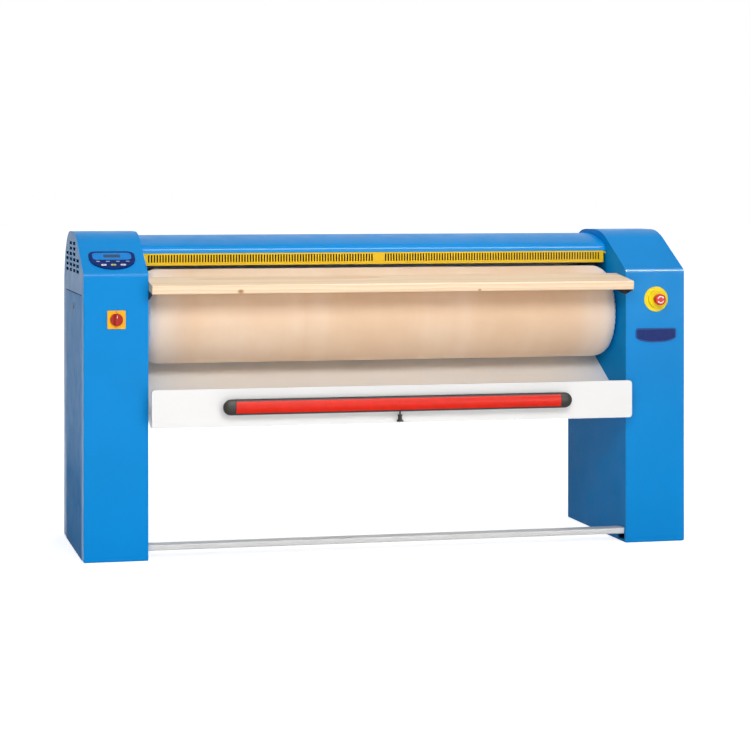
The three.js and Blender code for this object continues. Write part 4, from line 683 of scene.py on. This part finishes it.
# Rounded lip where each column's front and slope meet
def foldStrip(name, x0, x1, paintwork):
    strip = {
        "reach": 0.0100, "proud": 0.00165, "sunk": 0.0003, "root": 0.0008,
        "round": 0.0044, "segments": 8,
    }
    tilt = place["slopeAngle"]
    up = Vector((0, math.cos(tilt), math.sin(tilt)))
    out = Vector((0, -math.sin(tilt), math.cos(tilt)))
    fold = Vector((0, place["frontFace"], place["foldHeight"]))
    front = Vector((0, -1, 0))
    down = Vector((0, 0, -1))
    ahead = (out + front).normalized()
    crown = fold + ahead * strip["proud"]
    corners = (
        fold + up * strip["reach"] - out * strip["sunk"],
        crown,
        fold + down * strip["reach"] - front * strip["sunk"],
        fold - ahead * strip["root"],
    )
    shape = bmesh.new()
    face = outlineFace(shape, [corner + Vector((x0, 0, 0)) for corner in corners])
    pushOut(shape, [face], (x1 - x0, 0, 0))
    closeUp(shape)
    ridge = [
        edge for edge in shape.edges
        if all((vert.co - crown).yz.length < tiny["weld"] for vert in edge.verts)
    ]
    bevelAll(shape, ridge, strip["round"], strip["segments"])
    closeUp(shape)
    addPiece(name, shape, paintwork, "frame", 60)


foldStrip("foldStripLeft", -place["outerFace"], -place["innerFace"], softLip)
foldStrip("foldStripRight", place["innerFace"], place["outerFace"], lipPaint)
print("fold strips set")


# Dark strip with a ragged brush-like edge behind the finger guard's slots: painted shade that
# darkens the slots, clear of its tilt and of the linen
def guardShadeStrip():
    shadeStrip = {
        "half": 0.846, "front": -0.0340, "depth": 0.0030, "low": 0.9975, "high": 1.0400,
        "teeth": 240, "ragged": 0.0016, "raggedScale": 400, "tips": 0.001,
    }
    shape = bmesh.new()
    corners = acrossY(shadeStrip["front"], -shadeStrip["half"], shadeStrip["half"], shadeStrip["low"], shadeStrip["high"])
    pushOut(shape, [outlineFace(shape, corners)], (0, shadeStrip["depth"], 0))
    bmesh.ops.subdivide_edges(shape, edges=lengthwiseEdges(shape), cuts=shadeStrip["teeth"])
    closeUp(shape)
    for vert in shape.verts:
        if vert.co.z < shadeStrip["low"] + shadeStrip["tips"]:
            spot = Vector((vert.co.x * shadeStrip["raggedScale"], 0, 0))
            vert.co.z += shadeStrip["ragged"] * noise.noise(spot)
    addPiece("guardShadeStrip", shape, gasketAndShadeRubber, "frame", 30)


guardShadeStrip()
print("guard brush set")


# Rolled bead along the hood's front, just above the finger guard
def hoodBead():
    bead = {"half": 0.8535, "height": 1.0490, "radius": 0.0042, "sunk": 0.0026, "sides": 16}
    spot, way = nodes["hood"].ray_cast((0, -1, bead["height"]), (0, 1, 0))[1:3]
    centre = spot - way * bead["sunk"]
    shape = bmesh.new()
    bmesh.ops.create_circle(shape, cap_ends=True, segments=bead["sides"], radius=bead["radius"])
    stand = setDown((-bead["half"], centre.y, centre.z), 90, "Y")
    bmesh.ops.transform(shape, matrix=stand, verts=shape.verts)
    pushOut(shape, shape.faces[:], (bead["half"] * 2, 0, 0))
    closeUp(shape)
    addPiece("hoodBead", shape, beadPaint, "frame", 60)


hoodBead()
print("hood bead set")


# Raised rim round the plain badge plate, taken from the plate's own outline
def badgeRim():
    rim = {"margin": 0.0022, "width": 0.0014, "height": 0.0004, "facing": 0.99}
    shape = bmesh.new()
    shape.from_mesh(nodes["badge_plate"].data)
    bmesh.ops.remove_doubles(shape, verts=shape.verts, dist=tiny["weld"])
    other = [face for face in shape.faces if face.normal.y > -rim["facing"]]
    bmesh.ops.delete(shape, geom=other, context="FACES")
    bmesh.ops.dissolve_faces(shape, faces=shape.faces[:])

    def insetMiddle(width):
        bmesh.ops.inset_region(
            shape, faces=shape.faces[:], thickness=width, use_boundary=True, use_even_offset=True,
        )
        return max(shape.faces, key=lambda face: face.calc_area())

    middle = insetMiddle(rim["margin"])
    margin = [face for face in shape.faces if face is not middle]
    bmesh.ops.delete(shape, geom=margin, context="FACES")
    middle = insetMiddle(rim["width"])
    bmesh.ops.delete(shape, geom=[middle], context="FACES")
    pushOut(shape, shape.faces[:], (0, -rim["height"], 0))
    bmesh.ops.translate(shape, verts=shape.verts, vec=(0, -tiny["lift"], 0))
    closeUp(shape)
    addPiece("badgeRim", shape, badgeEdge, "frame", 40)


badgeRim()


# Two arrows round the stop button's face that show the way to turn it
def twistArrows():
    arrow = {
        "centre": (0.968, -0.3278, 0.868), "inner": 0.0100, "outer": 0.0128,
        "sweep": math.radians(112), "steps": 16, "starts": (20, 200),
        "headReach": 0.0052, "headHalf": 0.0036, "thickness": 0.0003,
    }
    shape = bmesh.new()
    middle = (arrow["inner"] + arrow["outer"]) / 2
    for start in arrow["starts"]:
        turn = Matrix.Rotation(math.radians(start), 4, "Y")
        before = set(shape.verts)
        ends = [shape.verts.new((r, 0, 0)) for r in (arrow["inner"], arrow["outer"])]
        edge = shape.edges.new(ends)
        bmesh.ops.spin(
            shape, geom=ends + [edge], cent=(0, 0, 0), axis=(0, 1, 0), dvec=(0, 0, 0),
            angle=arrow["sweep"], steps=arrow["steps"], use_merge=False,
        )
        tip = Matrix.Rotation(arrow["sweep"], 4, "Y")
        outlineFace(shape, [
            tip @ Vector((middle - arrow["headHalf"], 0, 0)),
            tip @ Vector((middle, 0, -arrow["headReach"])),
            tip @ Vector((middle + arrow["headHalf"], 0, 0)),
        ])
        bmesh.ops.transform(shape, matrix=turn, verts=freshVerts(shape, before))
    closeUp(shape, tiny["weld"])
    pushOut(shape, shape.faces[:], (0, -arrow["thickness"], 0))
    centre = Vector(arrow["centre"]) + Vector((0, -tiny["lift"], 0))
    bmesh.ops.translate(shape, verts=shape.verts, vec=centre)
    closeUp(shape)
    addPiece("twistArrows", shape, printWhite, "stop_head", 40)


twistArrows()


# Printed figure on a front face, made a mesh before it is placed
def printedText(name, words, size, centre, thickness, material, body):
    curve = bpy.data.curves.new(name, "FONT")
    curve.body = words
    curve.size = size
    curve.align_x = "CENTER"
    curve.align_y = "CENTER"
    curve.extrude = thickness / 2
    letters = bpy.data.objects.new(name + "Curve", curve)
    scene.collection.objects.link(letters)
    bpy.context.view_layer.update()
    shape = bmesh.new()
    shape.from_mesh(letters.to_mesh())
    letters.to_mesh_clear()
    bpy.data.objects.remove(letters)
    bmesh.ops.transform(shape, matrix=setDown(centre, 90, "X"), verts=shape.verts)
    closeUp(shape)
    return addPiece(name, shape, material, body, 30)


# Main switch: figures for its two places, and a pointer let into the grip
def switchMarks():
    marks = {
        "face": -0.2808, "x": -0.964, "z": 0.820, "reach": 0.0262, "size": 0.0075,
        "thickness": 0.0003,
        "gripFace": -0.3041, "pointerHalf": 0.0009, "pointerFrom": 0.006, "pointerTo": 0.0148,
    }
    x, z, half = marks["x"], marks["z"], marks["pointerHalf"]
    y = marks["face"] - marks["thickness"] / 2 - tiny["lift"]
    for words, dx, dz in (("0", 0, marks["reach"]), ("1", marks["reach"], 0)):
        printedText(
            "switchFigure" + words, words, marks["size"], (x + dx, y, z + dz),
            marks["thickness"], printBlack, "frame",
        )
    y = marks["gripFace"] - tiny["lift"]
    ends = (z + marks["pointerFrom"], z + marks["pointerTo"])
    shape = bmesh.new()
    face = outlineFace(shape, acrossY(y, x - half, x + half, *ends))
    pushOut(shape, [face], (0, -marks["thickness"], 0))
    closeUp(shape)
    addPiece("switchPointer", shape, printWhite, "switch_knob")


switchMarks()


# Raised marks on the three keys: run, stop and speed
def keyMarks():
    marks = {
        "up": 0.062, "proud": 0.00535, "height": 0.0003, "size": 0.0017,
        "places": {"start_key": -1.000, "stop_key": -0.967, "speed_key": -0.934},
        # Corners in units of the size: a triangle, a square and two triangles
        "outlines": {
            "start_key": (((-1, -1), (1.1, 0), (-1, 1)),),
            "stop_key": (((-1, -1), (1, -1), (1, 1), (-1, 1)),),
            "speed_key": (((-1.2, -1), (0, 0), (-1.2, 1)), ((0.2, -1), (1.4, 0), (0.2, 1))),
        },
    }
    lie = Matrix.Rotation(place["slopeAngle"], 4, "X")
    out = lie @ Vector((0, 0, 1))
    start = Vector((0, place["frontFace"], place["foldHeight"]))
    start += (lie @ Vector((0, marks["up"], 0))) + out * marks["proud"]
    size = marks["size"]
    for key, x in marks["places"].items():
        shape = bmesh.new()
        faces = [
            outlineFace(shape, [(a * size, b * size, 0) for a, b in corners])
            for corners in marks["outlines"][key]
        ]
        pushOut(shape, faces, (0, 0, marks["height"]))
        moved = Matrix.Translation(start + Vector((x, 0, 0))) @ lie
        bmesh.ops.transform(shape, matrix=moved, verts=shape.verts)
        closeUp(shape)
        addPiece(key.replace("_key", "KeyMark"), shape, printBlack, key)


keyMarks()
print("badge rim, arrows and marks set")


# Pan-head screws: domed head with a sunk middle, in rows on the panels that come off
def screwHead(shape, spot, way):
    head = {
        "radius": 0.0045, "height": 0.0022, "sides": 16,
        "brim": 0.45, "rise": 0.12, "depth": 0.55,    # shares of the radius and of the height
    }
    before = set(shape.verts)
    circle = bmesh.ops.create_circle(
        shape, cap_ends=True, segments=head["sides"], radius=head["radius"],
    )
    top = pushOut(shape, [circle["verts"][0].link_faces[0]], (0, 0, head["height"]))[0]
    brim = head["radius"] * head["brim"]
    bmesh.ops.inset_region(shape, faces=[top], thickness=brim, use_even_offset=True)
    bmesh.ops.translate(shape, verts=top.verts, vec=(0, 0, head["height"] * head["rise"]))
    pushOut(shape, [top], (0, 0, -head["height"] * head["depth"]))
    turn = Vector((0, 0, 1)).rotation_difference(Vector(way)).to_matrix().to_4x4()
    stand = Matrix.Translation(spot) @ turn
    bmesh.ops.transform(shape, matrix=stand, verts=freshVerts(shape, before))


def panelScrews():
    screws = {
        "edge": 0.014, "rows": (0.060, 0.330, 0.600, 0.860), "coverCount": 7, "coverEnd": 0.03,
    }
    rear = place["rearFace"] + tiny["lift"]
    shape = bmesh.new()
    for side in (-1, 1):
        for x in (place["innerFace"] + screws["edge"], place["outerFace"] - screws["edge"]):
            for z in screws["rows"]:
                screwHead(shape, (side * x, rear, z), (0, 1, 0))
    low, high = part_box("rear_cover")
    run = high[0] - low[0] - 2 * screws["coverEnd"]
    for i in range(screws["coverCount"]):
        x = low[0] + screws["coverEnd"] + run * i / (screws["coverCount"] - 1)
        for z in (low[2] + screws["edge"], high[2] - screws["edge"]):
            screwHead(shape, (x, high[1] + tiny["lift"], z), (0, 1, 0))
    addPiece("rearScrews", shape, zincPlate, "frame", 40)


# Dark gasket in the seam between each side's service panel and its top cover
def seamGasket(name, side):
    seam = {"height": 0.9001, "half": 0.0013, "proud": 0.00025, "front": -0.2135, "rear": 0.3020}
    face = side * (place["outerFace"] + tiny["lift"])
    low, high = seam["height"] - seam["half"], seam["height"] + seam["half"]
    corners = acrossX(face, seam["front"], seam["rear"], low, high)
    shape = bmesh.new()
    pushOut(shape, [outlineFace(shape, corners)], (side * seam["proud"], 0, 0))
    closeUp(shape)
    addPiece(name, shape, gasketAndShadeRubber, "frame")


seamGasket("seamGasketLeft", -1)
seamGasket("seamGasketRight", 1)
panelScrews()
print("seam gaskets and screws set")


# Foot rail: a flat oval tube with a sleeve at each end, in the place of the plain bar
def footRail():
    rail = {
        "half": 0.8655, "round": 0.0050, "segments": 5,
        "sleeveFrom": 0.8300, "sleeveTo": 0.8540, "sleeveGrow": 0.0006,
    }
    low, high = (Vector(corner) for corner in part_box("pedal_bar"))

    def ovalTube(name, x0, x1, grow, material, slot):
        shape = bmesh.new()
        sides = (low.y - grow, high.y + grow, low.z - grow, high.z + grow)
        pushOut(shape, [outlineFace(shape, acrossX(x0, *sides))], (x1 - x0, 0, 0))
        bevelAll(shape, lengthwiseEdges(shape), rail["round"] + grow, rail["segments"])
        closeUp(shape)
        return addPiece(name, shape, material, "pedal", 50)

    tube = ovalTube("footRail", -rail["half"], rail["half"], 0, barPaint, "grey_paint")
    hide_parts("pedal_bar")
    for side, name in ((-1, "railSleeveLeft"), (1, "railSleeveRight")):
        ends = sorted((side * rail["sleeveFrom"], side * rail["sleeveTo"]))
        ovalTube(name, *ends, rail["sleeveGrow"], railPlastic, "grey_plastic")


footRail()
print("foot rail set")


# Pedal's return spring, which shortens as the pedal goes down: here a wound coil at one length, in
# the plain spring's place
def pedalCoil():
    coil = {"wire": 0.00125, "turns": 8, "steps": 18, "sides": 8, "press": 0.0090}
    low, high = (Vector(corner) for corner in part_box("pedal_spring"))
    middle = (low + high) / 2
    reach = (high.x - low.x) / 2 - coil["wire"]
    rise = high.z - low.z - coil["wire"] * 2
    shape = bmesh.new()
    bmesh.ops.create_circle(shape, segments=coil["sides"], radius=coil["wire"])
    stand = setDown((reach, 0, coil["wire"]), 90, "X")
    bmesh.ops.transform(shape, matrix=stand, verts=shape.verts)
    steps = coil["turns"] * coil["steps"]
    bmesh.ops.spin(
        shape, geom=shape.verts[:] + shape.edges[:], cent=(0, 0, 0), axis=(0, 0, 1),
        dvec=(0, 0, rise / steps), angle=math.tau * coil["turns"], steps=steps, use_merge=False,
    )
    ends = [edge for edge in shape.edges if edge.is_boundary]
    bmesh.ops.holes_fill(shape, edges=ends, sides=coil["sides"])
    bmesh.ops.translate(shape, verts=shape.verts, vec=(middle.x, middle.y, low.z))
    closeUp(shape)
    piece = addPiece("pedalCoil", shape, zincPlate, "frame", 60)
    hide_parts("pedal_spring")
    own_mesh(piece)


pedalCoil()
print("pedal coil wound")


# 1 for the rays that show the backdrop itself: from the camera, off gloss and through glass
def seenRays(tree):
    path = addNode(tree, "ShaderNodeLightPath")
    seen = math2(tree, "ADD", path.outputs["Is Camera Ray"], path.outputs["Is Glossy Ray"])
    seen = math2(tree, "ADD", seen, path.outputs["Is Transmission Ray"])
    return math2(tree, "MINIMUM", seen, 1)


# Pale floor that shows white to the camera and keeps a soft shadow
def studioFloor():
    ground = {"half": 60, "drop": 0.001, "paper": 0.74, "lift": 0.76, "near": 1.3, "far": 3.2}
    shape = bmesh.new()
    bmesh.ops.create_grid(shape, x_segments=1, y_segments=1, size=ground["half"])
    bmesh.ops.translate(shape, verts=shape.verts, vec=(0, 0, -ground["drop"]))
    mesh = bpy.data.meshes.new("floor")
    shape.to_mesh(mesh)
    shape.free()
    floor = bpy.data.objects.new("floor", mesh)
    scene.collection.objects.link(floor)
    material = bpy.data.materials.new("floorPaper")
    material.use_nodes = True
    tree = material.node_tree
    tree.nodes.clear()
    paper = addNode(tree, "ShaderNodeBsdfDiffuse")
    paper.inputs["Color"].default_value = (ground["paper"],) * 3 + (1,)
    lift = addNode(tree, "ShaderNodeEmission")
    reach = lengthOf(tree, objectPoint(tree))
    level = spread(tree, reach, ground["lift"], 1, ground["near"], ground["far"])
    tree.links.new(level, lift.inputs["Strength"])
    both = addNode(tree, "ShaderNodeAddShader")
    tree.links.new(paper.outputs[0], both.inputs[0])
    tree.links.new(lift.outputs[0], both.inputs[1])
    chosen = addNode(tree, "ShaderNodeMixShader")
    tree.links.new(seenRays(tree), chosen.inputs[0])
    tree.links.new(paper.outputs[0], chosen.inputs[1])
    tree.links.new(both.outputs[0], chosen.inputs[2])
    out = addNode(tree, "ShaderNodeOutputMaterial")
    tree.links.new(chosen.outputs[0], out.inputs["Surface"])
    mesh.materials.append(material)


def studioWorld(strength):
    world = bpy.data.worlds.new("studio")
    scene.world = world
    world.use_nodes = True
    tree = world.node_tree
    tree.nodes.clear()
    back = addNode(tree, "ShaderNodeBackground")
    back.inputs["Color"].default_value = (1, 1, 1, 1)
    level = math2(tree, "MULTIPLY_ADD", seenRays(tree), 1 - strength, strength)
    tree.links.new(level, back.inputs["Strength"])
    out = addNode(tree, "ShaderNodeOutputWorld")
    tree.links.new(back.outputs[0], out.inputs["Surface"])


def softLight(name, spot, aim, width, height, power, onMatt, onGloss):
    light = bpy.data.lights.new(name, "AREA")
    light.shape = "RECTANGLE"
    light.size = width
    light.size_y = height
    light.energy = power
    lamp = bpy.data.objects.new(name, light)
    lamp.location = spot
    lamp.visible_diffuse = onMatt
    lamp.visible_glossy = onGloss
    lamp.rotation_euler = (Vector(aim) - Vector(spot)).to_track_quat("-Z", "Y").to_euler()
    scene.collection.objects.link(lamp)


# Lamps: name, place, aim, width, height, power, and whether matt surfaces and gloss see them
studio = {
    "world": 0.12,
    "lamps": (
        ("highLight", (-0.5, -4.8, 2.9), (0, 0, 0.6), 3.6, 1.4, 141, True, True),
        ("lowLight", (-0.5, -5.6, 0.85), (0, 0, 0.6), 4.4, 1.2, 63, True, True),
        ("floorLight", (0.0, -3.0, 0.25), (0, 0, 0.75), 3.0, 0.4, 11, True, True),
        ("topLight", (0.2, -0.3, 3.8), (0.1, 0, 0.8), 3.6, 2.0, 56, True, True),
        ("leftLight", (-4.5, -0.5, 2.8), (-1.0, 0, 0.8), 1.5, 1.5, 6, True, True),
        ("rearLight", (1.6, 5.4, 2.4), (0.2, 0.3, 0.7), 3.6, 2.0, 75, True, False),
        ("edgeGloss", (0.4, -3.0, 4.6), (0.2, -0.2, 0.9), 5.0, 3.6, 420, False, True),
        ("rightGloss", (3.2, -6.0, 1.25), (0.97, -0.28, 0.85), 1.6, 0.9, 200, False, True),
    ),
}
studioFloor()
studioWorld(studio["world"])
for lamp in studio["lamps"]:
    softLight(*lamp)
print("light and floor set")
